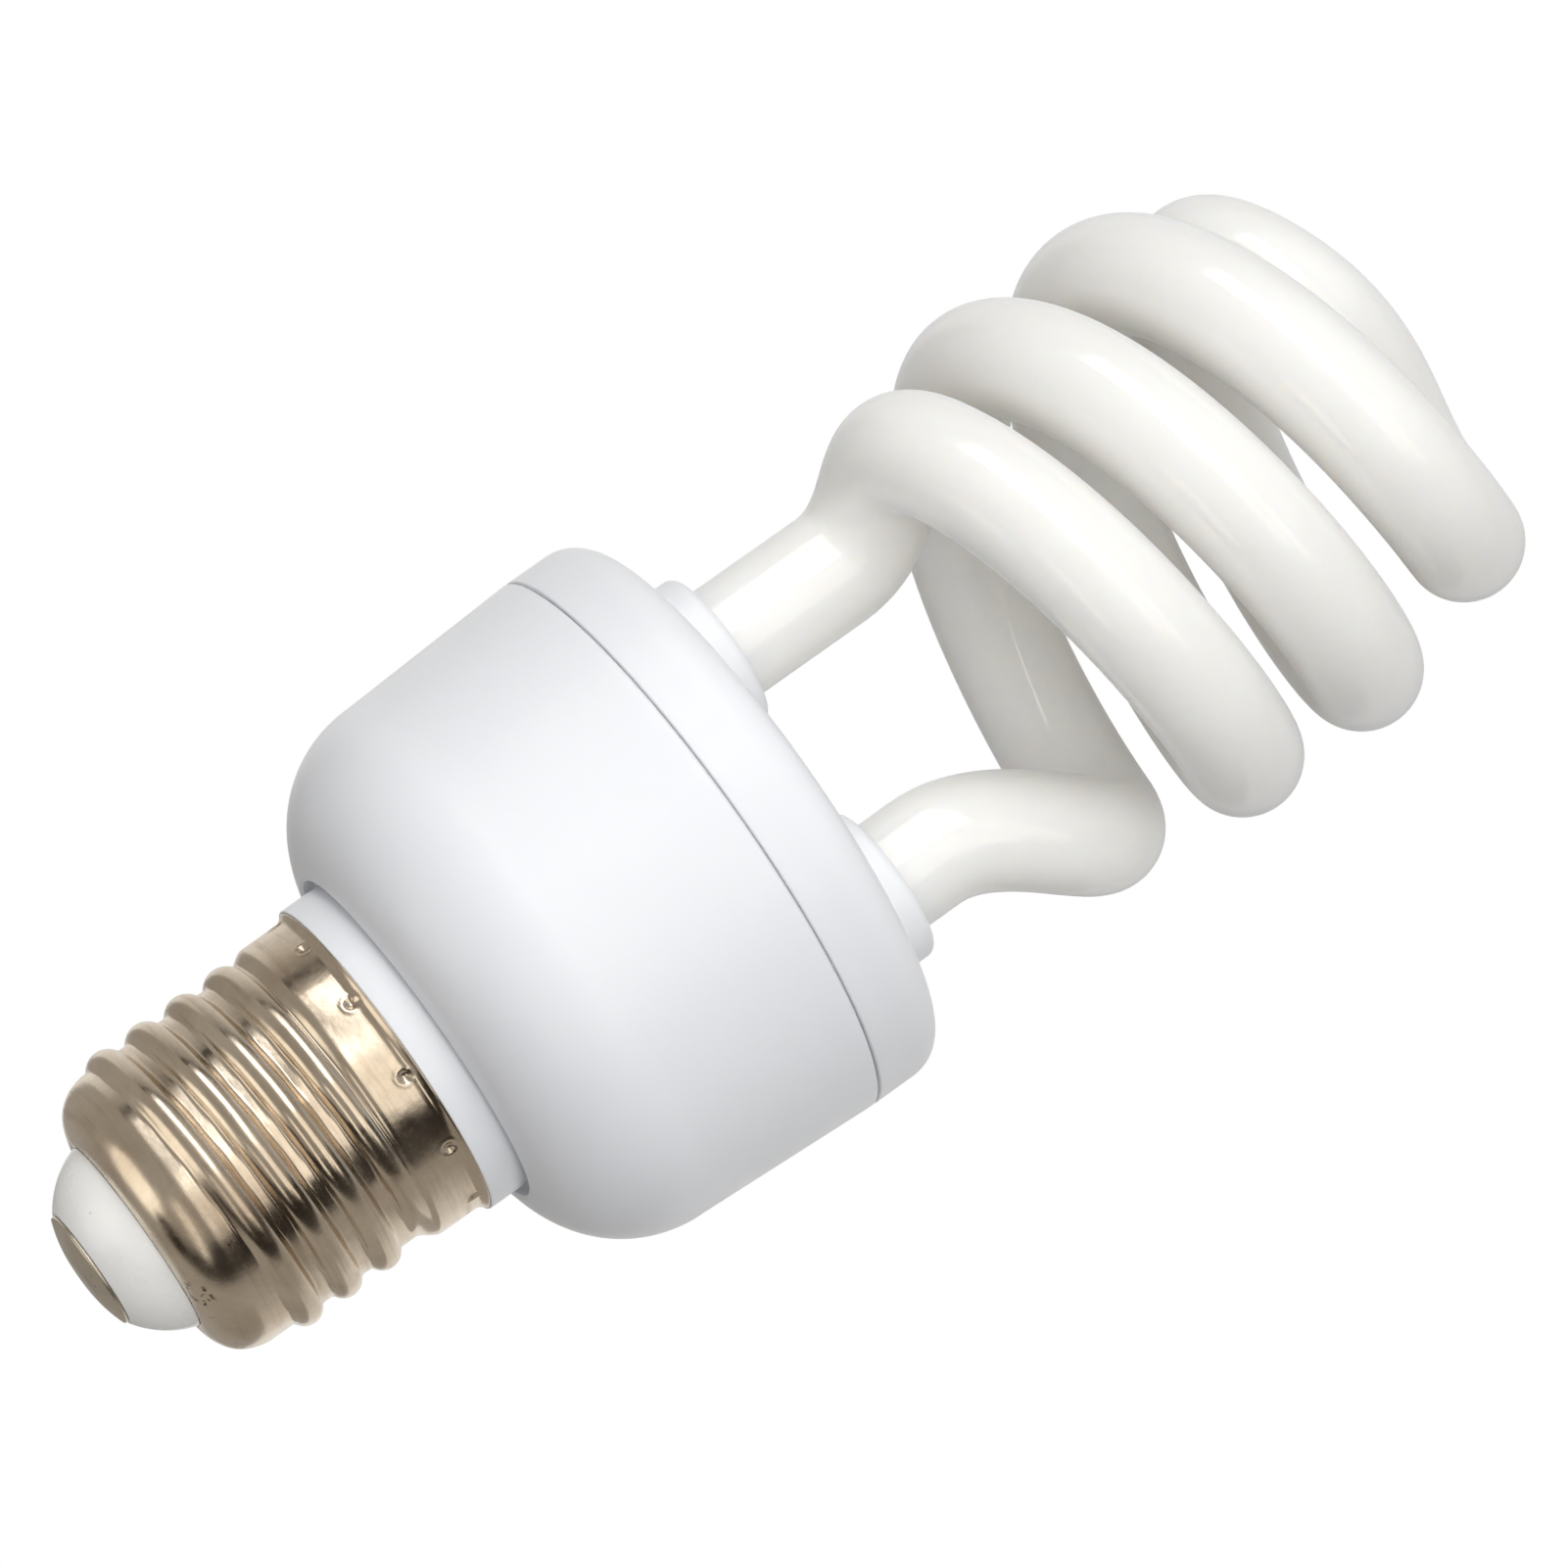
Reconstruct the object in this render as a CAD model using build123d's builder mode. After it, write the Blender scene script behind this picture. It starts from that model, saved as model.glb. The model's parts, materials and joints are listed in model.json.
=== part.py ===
from build123d import *
import math
import os

os.makedirs("parts", exist_ok=True)

# Spiral fluorescent UVB lamp, in millimetres.
# +Z runs from the centre contact to the spiral. z = 0 is the flat centre of the contact.
# Leg 1 of the tube stands on the -X side and leg 2 on the +X side.

# Centre contact and insulator
contact_radius = 4.85
contact_flat_radius = 2.0
contact_height = 1.0
contact_edge = 0.3
shank_radius = 1.1
shank_length = 6.5
insulator_height = 4.15
insulator_tip_radius = 5.1
insulator_bulge = 0.45
insulator_wall = 2.0
insulator_flange = 1.9

# Threaded shell
shell_wall = 0.3
shell_mouth_radius = 8.2
shell_lip_width = 0.5
shoulder_height = 3.6
shoulder_bulge = 0.95
thread_pitch = 3.629
thread_turns = 4
thread_root_radius = 12.25
thread_rib_height = 0.87
thread_rib_radius = 1.4
skirt_radius = 13.15
skirt_rise = 1.8
skirt_height = 4.95
rim_flare = 0.5
rim_flare_height = 0.8
crimp_count = 12
crimp_radius = 0.45
crimp_wall = 0.3
crimp_depth = 0.55
crimp_below_rim = 1.2
crimp_turn = 8.0

# Ballast housing
neck_radius = 13.8
neck_height = 4.0
neck_wall = 2.0
spigot_length = 14.5
groove_width = 0.8
groove_depth = 1.2
lip_width = 0.4
bottom_corner_rise = 10.4
housing_side_radius = 23.53
housing_side_flare = 0.87
housing_height = 26.0
housing_wall = 1.6
seam_gap = 0.3
seam_land = 0.7
rib_width = 1.6
rib_depth = 3.2

# Cap over the tube legs
cap_height = 6.7
cap_edge_radius = 3.0
cap_plate = 2.0
cap_wall = 1.9
cap_skirt_length = 3.5
cap_skirt_wall = 1.4
collar_radius = 6.6
collar_height = 4.3
collar_edge_radius = 1.0
catch_width = 5.0
catch_height = 1.2
catch_reach = 0.5

# Discharge tube
tube_radius = 4.75
leg_spacing = 22.0
leg_straight = 10.9
helix_radius = 18.4
helix_pitch = 23.6
helix_offset = 0.85
helix_first_height = 21.2
bend_turn = 50.0
bend_pull_leg = 28.0
bend_pull_helix = 38.0
helix_turn = 470.0
seal_width = 7.0
seal_thickness = 2.6
seal_length = 5.0
leg_below_plate = 4.2
cement_width = 1.5
cement_height = 2.6

# Circuit board and what it carries
board_thickness = 1.6
board_drop = 8.0
lead_radius = 0.3
bulk_radius = 5.0
bulk_length = 18.0
choke_depth = 4.5
choke_length = 13.0
choke_height = 10.0
choke_limb = 2.2
choke_coil_width = 8.6
ring_outer_radius = 4.5
ring_inner_radius = 2.2
ring_height = 3.4
drum_radius = 3.5
drum_length = 8.0
drum_flange = 1.0
transistor_radius = 2.3
transistor_height = 4.6
film_length = 7.5
film_width = 3.5
film_height = 7.0
disc_radius = 2.5
disc_thickness = 2.0
diode_radius = 1.3
diode_length = 4.6
resistor_radius = 1.1
resistor_length = 5.4
pin_size = 0.9
pin_height = 4.0
wire_radius = 0.45
tube_wire_radius = 0.25

# Clearances
slip = 0.1
fit = 0.15
part_gap = 1.0

# Heights that follow from the sizes above
shell_bottom = contact_height + insulator_height
shoulder_top = shell_bottom + shoulder_height
thread_start = shoulder_top
thread_end = thread_start + thread_turns * thread_pitch
shell_rim = thread_end + skirt_height
groove_top = shell_rim + neck_height
lip_z = groove_top - groove_depth
corner_z = lip_z + bottom_corner_rise
seam_z = lip_z + housing_height
cap_top = seam_z + cap_height
plate_z = cap_top - cap_plate
collar_top = cap_top + collar_height
board_bottom = seam_z - board_drop
board_top = board_bottom + board_thickness
leg_top = cap_top + leg_straight
leg_bottom = plate_z - leg_below_plate
seal_bottom = leg_bottom - seal_length + part_gap
helix_z = cap_top + helix_first_height
leg_x = leg_spacing / 2

# Radii that follow
lip_radius = neck_radius + groove_width + lip_width
bowl_width = housing_side_radius - lip_radius
bottom_corner_radius = (bowl_width**2 + bottom_corner_rise**2) / (2 * bowl_width)
corner_r = housing_side_radius - bottom_corner_radius
housing_rim_radius = housing_side_radius + housing_side_flare
spigot_radius = thread_root_radius - shell_wall - fit
skirt_inner = skirt_radius - shell_wall
side_slope = (housing_rim_radius - housing_side_radius) / (seam_z - corner_z)
seam_inner = housing_rim_radius - housing_wall
skirt_outer = seam_inner - side_slope * cap_skirt_length - fit
board_radius = seam_inner - side_slope * board_drop - 2 * fit - part_gap


def arc_point(center_r, center_z, radius, angle):
    """Point at an angle above the outward direction on an arc of a turned profile."""
    a = math.radians(angle)
    return (center_r + radius * math.cos(a), center_z + radius * math.sin(a))


def bulged(start, end, rise):
    """Middle point of an arc from start to end that stands out to the right by rise."""
    dx = end[0] - start[0]
    dy = end[1] - start[1]
    length = math.hypot(dx, dy)
    return ((start[0] + end[0]) / 2 + dy / length * rise, (start[1] + end[1]) / 2 - dx / length * rise)


def save(part, name):
    part.label = name
    export_step(part, f"parts/{name}.step")


# Centre contact: a shallow dome with a flat centre, and a shank pressed into the insulator
with BuildPart() as centre_contact:
    with BuildSketch(Plane.XZ):
        with BuildLine():
            rim = (contact_radius, contact_height - contact_edge)
            flat = (contact_flat_radius, 0)
            Line((0, 0), flat)
            ThreePointArc(flat, bulged(flat, rim, 0.1), rim)
            Polyline(
                rim,
                (contact_radius, contact_height),
                (shank_radius, contact_height),
                (shank_radius, contact_height + shank_length),
                (0, contact_height + shank_length),
                (0, 0),
            )
        make_face()
    revolve(axis=Axis.Z)
save(centre_contact.part, "centre_contact")


# Insulator: an outside cone, a neck through the shell's mouth and a flange inside the shell
insulator_neck = shell_mouth_radius - slip
flange_z = shell_bottom + shell_wall
flange_radius = shell_mouth_radius + insulator_flange
insulator_top = flange_z + insulator_flange + 1.2
with BuildPart() as base_insulator:
    with BuildSketch(Plane.XZ):
        with BuildLine():
            tip = (insulator_tip_radius, contact_height)
            heel = (shell_mouth_radius, shell_bottom)
            Line((shank_radius + slip, contact_height), tip)
            ThreePointArc(tip, bulged(tip, heel, insulator_bulge), heel)
            Polyline(
                heel,
                (insulator_neck, shell_bottom),
                (insulator_neck, flange_z),
                (shell_mouth_radius + shell_lip_width - slip, flange_z),
                (flange_radius, flange_z + insulator_flange),
                (flange_radius, insulator_top),
                (flange_radius - insulator_wall, insulator_top),
                (insulator_tip_radius, contact_height + insulator_wall),
                (shank_radius + slip + insulator_wall / 2, contact_height + insulator_wall),
                (shank_radius + slip + insulator_wall / 2, contact_height + shank_length - part_gap),
                (shank_radius + slip, contact_height + shank_length - part_gap),
                (shank_radius + slip, contact_height),
            )
        make_face()
    revolve(axis=Axis.Z)
    # side groove of the shank's hole, in which the live wire is trapped
    with BuildSketch(Plane.XY.offset(contact_height + slip)):
        with Locations((0, shank_radius + wire_radius)):
            Circle(wire_radius + slip)
    extrude(amount=insulator_top, mode=Mode.SUBTRACT)
save(base_insulator.part, "base_insulator")


def shell_profile(inset):
    """Half section of the shell filled to its axis, moved inward by inset."""
    root = thread_root_radius - inset
    skirt = skirt_radius - inset
    mouth = (shell_mouth_radius + shell_lip_width, shell_bottom + inset)
    shoulder = (root, shoulder_top)
    skirt_foot = (root, thread_end - skirt_rise / 2)
    skirt_head = (skirt, thread_end + skirt_rise / 2)
    with BuildLine() as line:
        Line((0, shell_bottom + inset), mouth)
        ThreePointArc(mouth, bulged(mouth, shoulder, shoulder_bulge), shoulder)
        Line(shoulder, skirt_foot)
        Spline(skirt_foot, skirt_head, tangents=((0, 1), (0, 1)))
        Polyline(
            skirt_head,
            (skirt, shell_rim - rim_flare_height),
            (skirt + rim_flare, shell_rim),
            (0, shell_rim),
            (0, shell_bottom + inset),
        )
    return line.line


# Threaded shell: one thin rolled wall, thread outside and in, with punched crimps under the rim
rib_center = thread_root_radius + thread_rib_height - thread_rib_radius
groove_rib_radius = thread_rib_radius - shell_wall
thread_helix = Helix(thread_pitch, thread_turns * thread_pitch, rib_center, center=(0, 0, thread_start))
# the section stands on the -X side, opposite the thread's start and end
shell_section = Plane((0, 0, 0), x_dir=(-1, 0, 0), z_dir=(0, 1, 0))
with BuildPart() as shell_inside:
    with BuildSketch(shell_section):
        add(shell_profile(shell_wall))
        make_face()
    revolve(axis=Axis.Z)
    with BuildSketch(Plane(thread_helix @ 0, z_dir=thread_helix % 0)):
        Circle(groove_rib_radius)
    sweep(path=thread_helix, is_frenet=True)
    for end in (thread_helix @ 0, thread_helix @ 1):
        with Locations(end):
            Sphere(groove_rib_radius)
    # crimps press into the inside
    with Locations((0, 0, shell_rim - crimp_below_rim)):
        with PolarLocations(skirt_inner, crimp_count, start_angle=crimp_turn - 90):
            with Locations(Rotation(0, 90, 0)):
                Cylinder(
                    crimp_radius + crimp_wall,
                    2 * (crimp_depth - shell_wall),
                    mode=Mode.SUBTRACT,
                )

with BuildPart() as screw_shell:
    with BuildSketch(shell_section):
        add(shell_profile(0))
        make_face()
    revolve(axis=Axis.Z)
    with BuildSketch(Plane(thread_helix @ 0, z_dir=thread_helix % 0)):
        Circle(thread_rib_radius)
    sweep(path=thread_helix, is_frenet=True)
    for end in (thread_helix @ 0, thread_helix @ 1):
        with Locations(end):
            Sphere(thread_rib_radius)
    add(shell_inside.part, mode=Mode.SUBTRACT)
    # mouth for the insulator's neck
    with Locations((0, 0, shell_bottom)):
        Cylinder(shell_mouth_radius, 2 * shell_wall + slip, mode=Mode.SUBTRACT)
    with Locations((0, 0, shell_rim - crimp_below_rim)):
        with PolarLocations(skirt_radius, crimp_count, start_angle=crimp_turn - 90):
            with Locations(Rotation(0, 90, 0)):
                Cylinder(crimp_radius, 2 * (crimp_depth - slip), mode=Mode.SUBTRACT)
save(screw_shell.part, "screw_shell")


# Ballast housing: spigot, neck, groove, rounded bottom and side, turned as one shell
floor_z = groove_top + housing_wall
spigot_bottom = shell_rim - spigot_length
bore = spigot_radius - neck_wall
inner_corner = bottom_corner_radius - housing_wall
floor_radius = corner_r + math.sqrt(inner_corner**2 - (corner_z - floor_z) ** 2)
with BuildPart() as housing_cavity:
    with BuildSketch(Plane.XZ):
        with BuildLine():
            floor_end = (floor_radius, floor_z)
            side_start = (corner_r + inner_corner, corner_z)
            mid_angle = -math.degrees(math.asin((corner_z - floor_z) / inner_corner)) / 2
            Polyline((0, spigot_bottom), (bore, spigot_bottom), (bore, floor_z), floor_end)
            ThreePointArc(floor_end, arc_point(corner_r, corner_z, inner_corner, mid_angle), side_start)
            Polyline(side_start, (seam_inner, seam_z), (0, seam_z), (0, spigot_bottom))
        make_face()
    revolve(axis=Axis.Z)
    # ribs that carry the circuit board
    rib_length = board_bottom - floor_z - inner_corner / 2
    with Locations((0, 0, board_bottom - rib_length / 2)):
        with PolarLocations(seam_inner, 4, start_angle=45):
            Box(2 * rib_depth, rib_width, rib_length, mode=Mode.SUBTRACT)
    # pockets for the cap's catches
    catch_z = seam_z - cap_skirt_length + catch_height
    with Locations((0, 0, catch_z)):
        with PolarLocations(skirt_outer, 4):
            Box(2 * (catch_reach + fit), catch_width + 2 * fit, catch_height + 2 * fit)

neck_step = skirt_inner - fit
with BuildPart() as ballast_housing:
    with BuildSketch(Plane.XZ):
        with BuildLine():
            lip = (lip_radius, lip_z)
            side_start = (housing_side_radius, corner_z)
            lip_angle = -math.degrees(math.asin(bottom_corner_rise / bottom_corner_radius))
            groove_outer = neck_radius + groove_width
            Polyline(
                (0, spigot_bottom),
                (spigot_radius, spigot_bottom),
                (spigot_radius, thread_end - skirt_rise / 2 + fit),
                (neck_step, thread_end + skirt_rise / 2 + fit),
                (neck_step, shell_rim - rim_flare_height),
                (neck_step + rim_flare - fit, shell_rim),
                (neck_radius, shell_rim),
                (neck_radius, groove_top),
                (groove_outer, groove_top),
                (groove_outer, lip_z + slip),
                lip,
            )
            ThreePointArc(
                lip, arc_point(corner_r, corner_z, bottom_corner_radius, lip_angle / 2), side_start
            )
            Polyline(
                side_start,
                (housing_rim_radius, seam_z - seam_gap),
                (housing_rim_radius - seam_land, seam_z - seam_gap),
                (housing_rim_radius - seam_land, seam_z),
                (0, seam_z),
                (0, spigot_bottom),
            )
        make_face()
    revolve(axis=Axis.Z)
    add(housing_cavity.part, mode=Mode.SUBTRACT)
    # recesses that take the shell's crimps
    with Locations((0, 0, shell_rim - crimp_below_rim)):
        with PolarLocations(skirt_inner, crimp_count, start_angle=crimp_turn - 90):
            with Locations(Rotation(0, 90, 0)):
                Cylinder(
                    crimp_radius + crimp_wall + fit,
                    2 * (crimp_depth - shell_wall + fit),
                    mode=Mode.SUBTRACT,
                )
    # notch in the spigot's outside for the folded end of the neutral wire
    with BuildSketch(Plane.XY.offset(spigot_bottom)):
        with Locations((0, -spigot_radius)):
            Rectangle(2 * (wire_radius + slip), 4 * (wire_radius + slip))
    extrude(amount=spigot_length / 2, mode=Mode.SUBTRACT)
save(ballast_housing.part, "ballast_housing")


# Tube cap: flat plate with a rounded edge, two collars, and a skirt that snaps into the housing
with BuildPart() as tube_cap:
    with BuildSketch(Plane.XZ):
        with BuildLine():
            edge_start = (housing_rim_radius, cap_top - cap_edge_radius)
            edge_center_r = housing_rim_radius - cap_edge_radius
            edge_mid = arc_point(edge_center_r, cap_top - cap_edge_radius, cap_edge_radius, 45)
            skirt_bottom = seam_z - cap_skirt_length
            skirt_bore = skirt_outer - cap_skirt_wall
            upper_bore = housing_rim_radius - cap_wall
            Line((housing_rim_radius, seam_z), edge_start)
            ThreePointArc(edge_start, edge_mid, (edge_center_r, cap_top))
            Polyline(
                (edge_center_r, cap_top),
                (0, cap_top),
                (0, plate_z),
                (upper_bore - part_gap, plate_z),
                (upper_bore, plate_z - part_gap),
                (upper_bore, seam_z + housing_wall),
                (skirt_bore, seam_z + housing_wall / 2),
                (skirt_bore, skirt_bottom),
                (skirt_outer, skirt_bottom),
                (skirt_outer, seam_z),
                (housing_rim_radius, seam_z),
            )
        make_face()
    revolve(axis=Axis.Z)
    with BuildSketch(Plane.XY.offset(cap_top - slip)):
        with GridLocations(leg_spacing, 1, 2, 1):
            Circle(collar_radius)
    extrude(amount=collar_height + slip)
    collar_rims = edges().filter_by(GeomType.CIRCLE).group_by(Axis.Z)[-1]
    fillet(collar_rims, radius=collar_edge_radius)
    collar_feet = edges().filter_by(GeomType.CIRCLE).filter_by(
        lambda e: abs(e.radius - collar_radius) < slip and abs(e.center().Z - cap_top) < slip
    )
    fillet(collar_feet, radius=collar_edge_radius / 2)
    with BuildSketch(Plane.XY.offset(plate_z)):
        with GridLocations(leg_spacing, 1, 2, 1):
            Circle(tube_radius + fit)
    extrude(amount=cap_height + collar_height, mode=Mode.SUBTRACT)
    with Locations((0, 0, catch_z)):
        with PolarLocations(skirt_outer - slip, 4):
            Box(2 * catch_reach, catch_width, catch_height)
save(tube_cap.part, "tube_cap")


# Discharge tube: two legs, a double helix and a bridge over its top
def helix_point(turn, side):
    """Centreline point after a turn in degrees. side is 1 for the strand of leg 1 and -1 for leg 2."""
    a = math.radians(turn)
    return Vector(
        helix_offset - side * helix_radius * math.cos(a),
        -side * helix_radius * math.sin(a),
        helix_z + helix_pitch * turn / 360,
    )


def bend_points(side):
    """Cubic blend from the top of a leg into its strand of the helix."""
    start = Vector(-side * leg_x, 0, leg_top)
    end = helix_point(bend_turn, side)
    pull_start = Vector(0, 0, bend_pull_leg)
    pull_end = (helix_point(bend_turn + 1, side) - helix_point(bend_turn - 1, side)).normalized()
    pull_end = pull_end * bend_pull_helix
    points = []
    steps = 7
    for step in range(steps):
        s = step / steps
        h0 = 2 * s**3 - 3 * s**2 + 1
        h1 = s**3 - 2 * s**2 + s
        h2 = 3 * s**2 - 2 * s**3
        h3 = s**3 - s**2
        points.append(start * h0 + pull_start * h1 + end * h2 + pull_end * h3)
    return points


def strand_points(side):
    """A leg and its strand, up to the turn where the bridge takes over."""
    leg_steps = 4
    rise = (leg_top - leg_bottom) / leg_steps
    leg = [Vector(-side * leg_x, 0, leg_bottom + rise * i) for i in range(leg_steps)]
    steps = 16
    turns = [bend_turn + (helix_turn - bend_turn) * i / steps for i in range(steps + 1)]
    return leg + bend_points(side) + [helix_point(turn, side) for turn in turns]


# the bridge, measured from the helix axis and from the height where the regular helix starts
bridge_far = Vector(helix_radius * 0.82, helix_radius * 0.07, helix_pitch * 1.564)
bridge_rise = Vector(helix_radius * 0.467, helix_radius * 0.24, helix_pitch * 1.61)
bridge_middle = Vector(helix_radius * 0.02, helix_radius * -0.005, helix_pitch * 1.61)
bridge_fall = Vector(helix_radius * -0.484, helix_radius * -0.266, helix_pitch * 1.496)
bridge_near = Vector(helix_radius * -0.815, helix_radius * -0.022, helix_pitch * 1.411)
helix_origin = Vector(helix_offset, 0, helix_z)
bridge_points = [
    helix_origin + point
    for point in (bridge_far, bridge_rise, bridge_middle, bridge_fall, bridge_near)
]
tube_points = strand_points(1) + bridge_points + strand_points(-1)[::-1]
with BuildPart() as discharge_tube:
    with BuildLine():
        Spline(*tube_points, tangents=((0, 0, 1), (0, 0, -1)))
    with BuildSketch(Plane.XY.offset(leg_bottom)):
        with Locations((-leg_x, 0)):
            Circle(tube_radius)
    sweep(is_frenet=False)
    # flat pressed seals
    with BuildSketch(Plane.XY.offset(seal_bottom)):
        with GridLocations(leg_spacing, 1, 2, 1):
            SlotOverall(seal_width, seal_thickness)
    extrude(amount=leg_bottom - seal_bottom + part_gap)
save(discharge_tube.part, "discharge_tube")


# Cement round each leg, under the cap's plate
for index, side in enumerate((-1, 1)):
    with BuildPart() as tube_cement:
        with BuildSketch(Plane.XY.offset(plate_z)):
            with Locations((side * leg_x, 0)):
                Circle(tube_radius + cement_width)
                Circle(tube_radius + slip / 2, mode=Mode.SUBTRACT)
        extrude(amount=-cement_height)
        outer = edges().filter_by(GeomType.CIRCLE).group_by(Axis.Z)[0].sort_by(SortBy.RADIUS)[-1]
        chamfer(outer, length=cement_width / 2)
    save(tube_cement.part, f"tube_cement_{index + 1}")


# Layout on the board: the capacitor hangs at the centre, the rest stands round it
wire_y = bulk_radius + part_gap + wire_radius
choke_x = -(bulk_radius + part_gap + choke_coil_width / 2)
ring_x = bulk_radius + part_gap + ring_outer_radius
ring_y = ring_outer_radius + part_gap / 2
drum_x = bulk_radius + part_gap + drum_radius
drum_y = -(drum_radius + part_gap / 2)
transistor_y = wire_y + wire_radius + part_gap + transistor_radius
transistor_x = transistor_radius + part_gap / 2
film_y = -(wire_y + wire_radius + part_gap + film_width / 2)
film_x = film_length / 2 + part_gap / 2
disc_y = film_y - film_width / 2 - part_gap - disc_thickness / 2
snubber_y = transistor_y + transistor_radius + part_gap + film_width / 2
pin_x = leg_x + seal_width / 2 + part_gap + pin_size / 2 + 0.5
pin_y = leg_x / 2
bulk_pitch = bulk_radius
film_pitch = film_length * 2 / 3
transistor_pitch = 1.3
disc_pitch = disc_radius
choke_pin_x = choke_coil_width / 2 - lead_radius
drum_pitch = drum_radius
diode_pitch = diode_length + 4 * lead_radius + 2 * part_gap
resistor_pitch = resistor_length + 4 * lead_radius + 2 * part_gap
row_step = 2 * diode_radius + part_gap
diode_row_y = 2 * resistor_radius + part_gap + diode_pitch / 2
resistor_row_y = -(2 * resistor_radius + part_gap + resistor_pitch / 2)
body_top = board_bottom - lead_radius

# name, centre, direction in degrees, body radius, body length and lead pitch of the lying pieces
lying_pieces = []
for index in range(4):
    x = (index - 1.5) * row_step
    lying_pieces.append(
        (f"diode_{index + 1}", (x, diode_row_y), 90, diode_radius, diode_length, diode_pitch)
    )
for index in range(4):
    x = (index - 1.5) * row_step
    lying_pieces.append(
        (f"resistor_{index + 1}", (x, resistor_row_y), 90, resistor_radius, resistor_length, resistor_pitch)
    )
lying_pieces.append(("fuse_resistor", (0, 0), 0, resistor_radius, resistor_length, resistor_pitch))
trigger_y = diode_row_y + diode_pitch / 2 + part_gap + diode_radius
lying_pieces.append(("trigger_diode", (0, trigger_y), 0, diode_radius, diode_length, diode_pitch))

lead_spots = [(side * bulk_pitch / 2, 0) for side in (-1, 1)]
lead_spots += [(choke_x + side * choke_pin_x, 0) for side in (-1, 1)]
lead_spots += [(drum_x + side * drum_pitch / 2, drum_y) for side in (-1, 1)]
for side in (-1, 1):
    lead_spots += [(side * transistor_x + step * transistor_pitch, transistor_y) for step in (-1, 0, 1)]
    lead_spots += [(side * film_x + step * film_pitch / 2, film_y) for step in (-1, 1)]
lead_spots += [(step * film_pitch / 2, snubber_y) for step in (-1, 1)]
lead_spots += [(side * disc_pitch, disc_y) for side in (-1, 1)]
for name, spot, turn, radius, length, pitch in lying_pieces:
    dx = pitch / 2 * math.cos(math.radians(turn))
    dy = pitch / 2 * math.sin(math.radians(turn))
    lead_spots += [(spot[0] - dx, spot[1] - dy), (spot[0] + dx, spot[1] + dy)]
coil_radius_r = (ring_outer_radius - ring_inner_radius) / 2 + lead_radius + 2 * fit
coil_radius_z = ring_height / 2 + lead_radius + 2 * fit
ring_z = body_top - coil_radius_z - lead_radius
ring_mean = (ring_outer_radius + ring_inner_radius) / 2
coil_start = -100.0
coil_end = 100.0
coil_turns = 7
ring_spots = []
for angle in (coil_start, coil_end):
    a = math.radians(angle)
    ring_spots.append((ring_x + ring_mean * math.cos(a), ring_y + ring_mean * math.sin(a)))
lead_spots += ring_spots

# Circuit board
with BuildPart() as circuit_board:
    with BuildSketch(Plane.XY.offset(board_bottom)):
        Circle(board_radius)
        with Locations(*lead_spots):
            Circle(lead_radius + slip, mode=Mode.SUBTRACT)
        with Locations((0, wire_y), (0, -wire_y)):
            Circle(wire_radius + slip, mode=Mode.SUBTRACT)
        with GridLocations(2 * pin_x, 2 * pin_y, 2, 2):
            Rectangle(pin_size + 2 * slip, pin_size + 2 * slip, mode=Mode.SUBTRACT)
    extrude(amount=board_thickness)
save(circuit_board.part, "circuit_board")

# Wrap pins, pressed through the board
for index, (sx, sy) in enumerate(((-1, 1), (-1, -1), (1, 1), (1, -1))):
    with BuildPart() as wrap_pin:
        with BuildSketch(Plane.XY.offset(board_bottom - part_gap)):
            with Locations((sx * pin_x, sy * pin_y)):
                Rectangle(pin_size, pin_size)
        extrude(amount=part_gap + board_thickness + pin_height)
        chamfer(faces().sort_by(Axis.Z)[-1].edges(), length=pin_size / 5)
        with BuildSketch(Plane.XY.offset(board_bottom - part_gap)):
            with Locations((sx * pin_x, sy * pin_y)):
                Rectangle(2 * pin_size, 2 * pin_size)
        extrude(amount=part_gap)
    save(wrap_pin.part, f"wrap_pin_{index + 1}")


def leads(spots, low):
    """Straight wire leads from the height low up to the board's top."""
    with BuildPart() as wires:
        with BuildSketch(Plane.XY.offset(low)):
            with Locations(*spots):
                Circle(lead_radius)
        extrude(amount=board_top - low)
    return wires.part


# Bulk capacitor: can with a rolled groove, hanging into the neck
bulk_leads = leads([(side * bulk_pitch / 2, 0) for side in (-1, 1)], body_top - part_gap)
with BuildPart() as bulk_capacitor:
    with BuildSketch(Plane.XZ):
        with BuildLine():
            can_bottom = body_top - bulk_length
            groove_z = body_top - bulk_length / 8
            Polyline(
                (0, can_bottom),
                (bulk_radius, can_bottom),
                (bulk_radius, groove_z - lead_radius * 2),
                (bulk_radius - lead_radius, groove_z),
                (bulk_radius, groove_z + lead_radius * 2),
                (bulk_radius, body_top),
                (0, body_top),
                (0, can_bottom),
            )
        make_face()
    revolve(axis=Axis.Z)
    fillet(edges().filter_by(GeomType.CIRCLE).group_by(Axis.Z)[0], radius=lead_radius)
    add(bulk_leads)
save(bulk_capacitor.part, "bulk_capacitor")

# Choke: core with three limbs, bobbin round the middle limb, and the winding on it
limb_gap = choke_length - 2 * choke_limb
choke_low = body_top - choke_height - part_gap
window_height = choke_height - 2 * choke_limb
choke_middle = choke_low + choke_height / 2
middle_limb = choke_limb * 1.4
with BuildPart() as choke_core:
    with Locations((choke_x, 0, choke_middle)):
        Box(choke_depth, choke_length, choke_height)
        with GridLocations(1, (limb_gap + middle_limb) / 2, 1, 2):
            Box(choke_depth, (limb_gap - middle_limb) / 2, window_height, mode=Mode.SUBTRACT)
save(choke_core.part, "choke_core")

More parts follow.
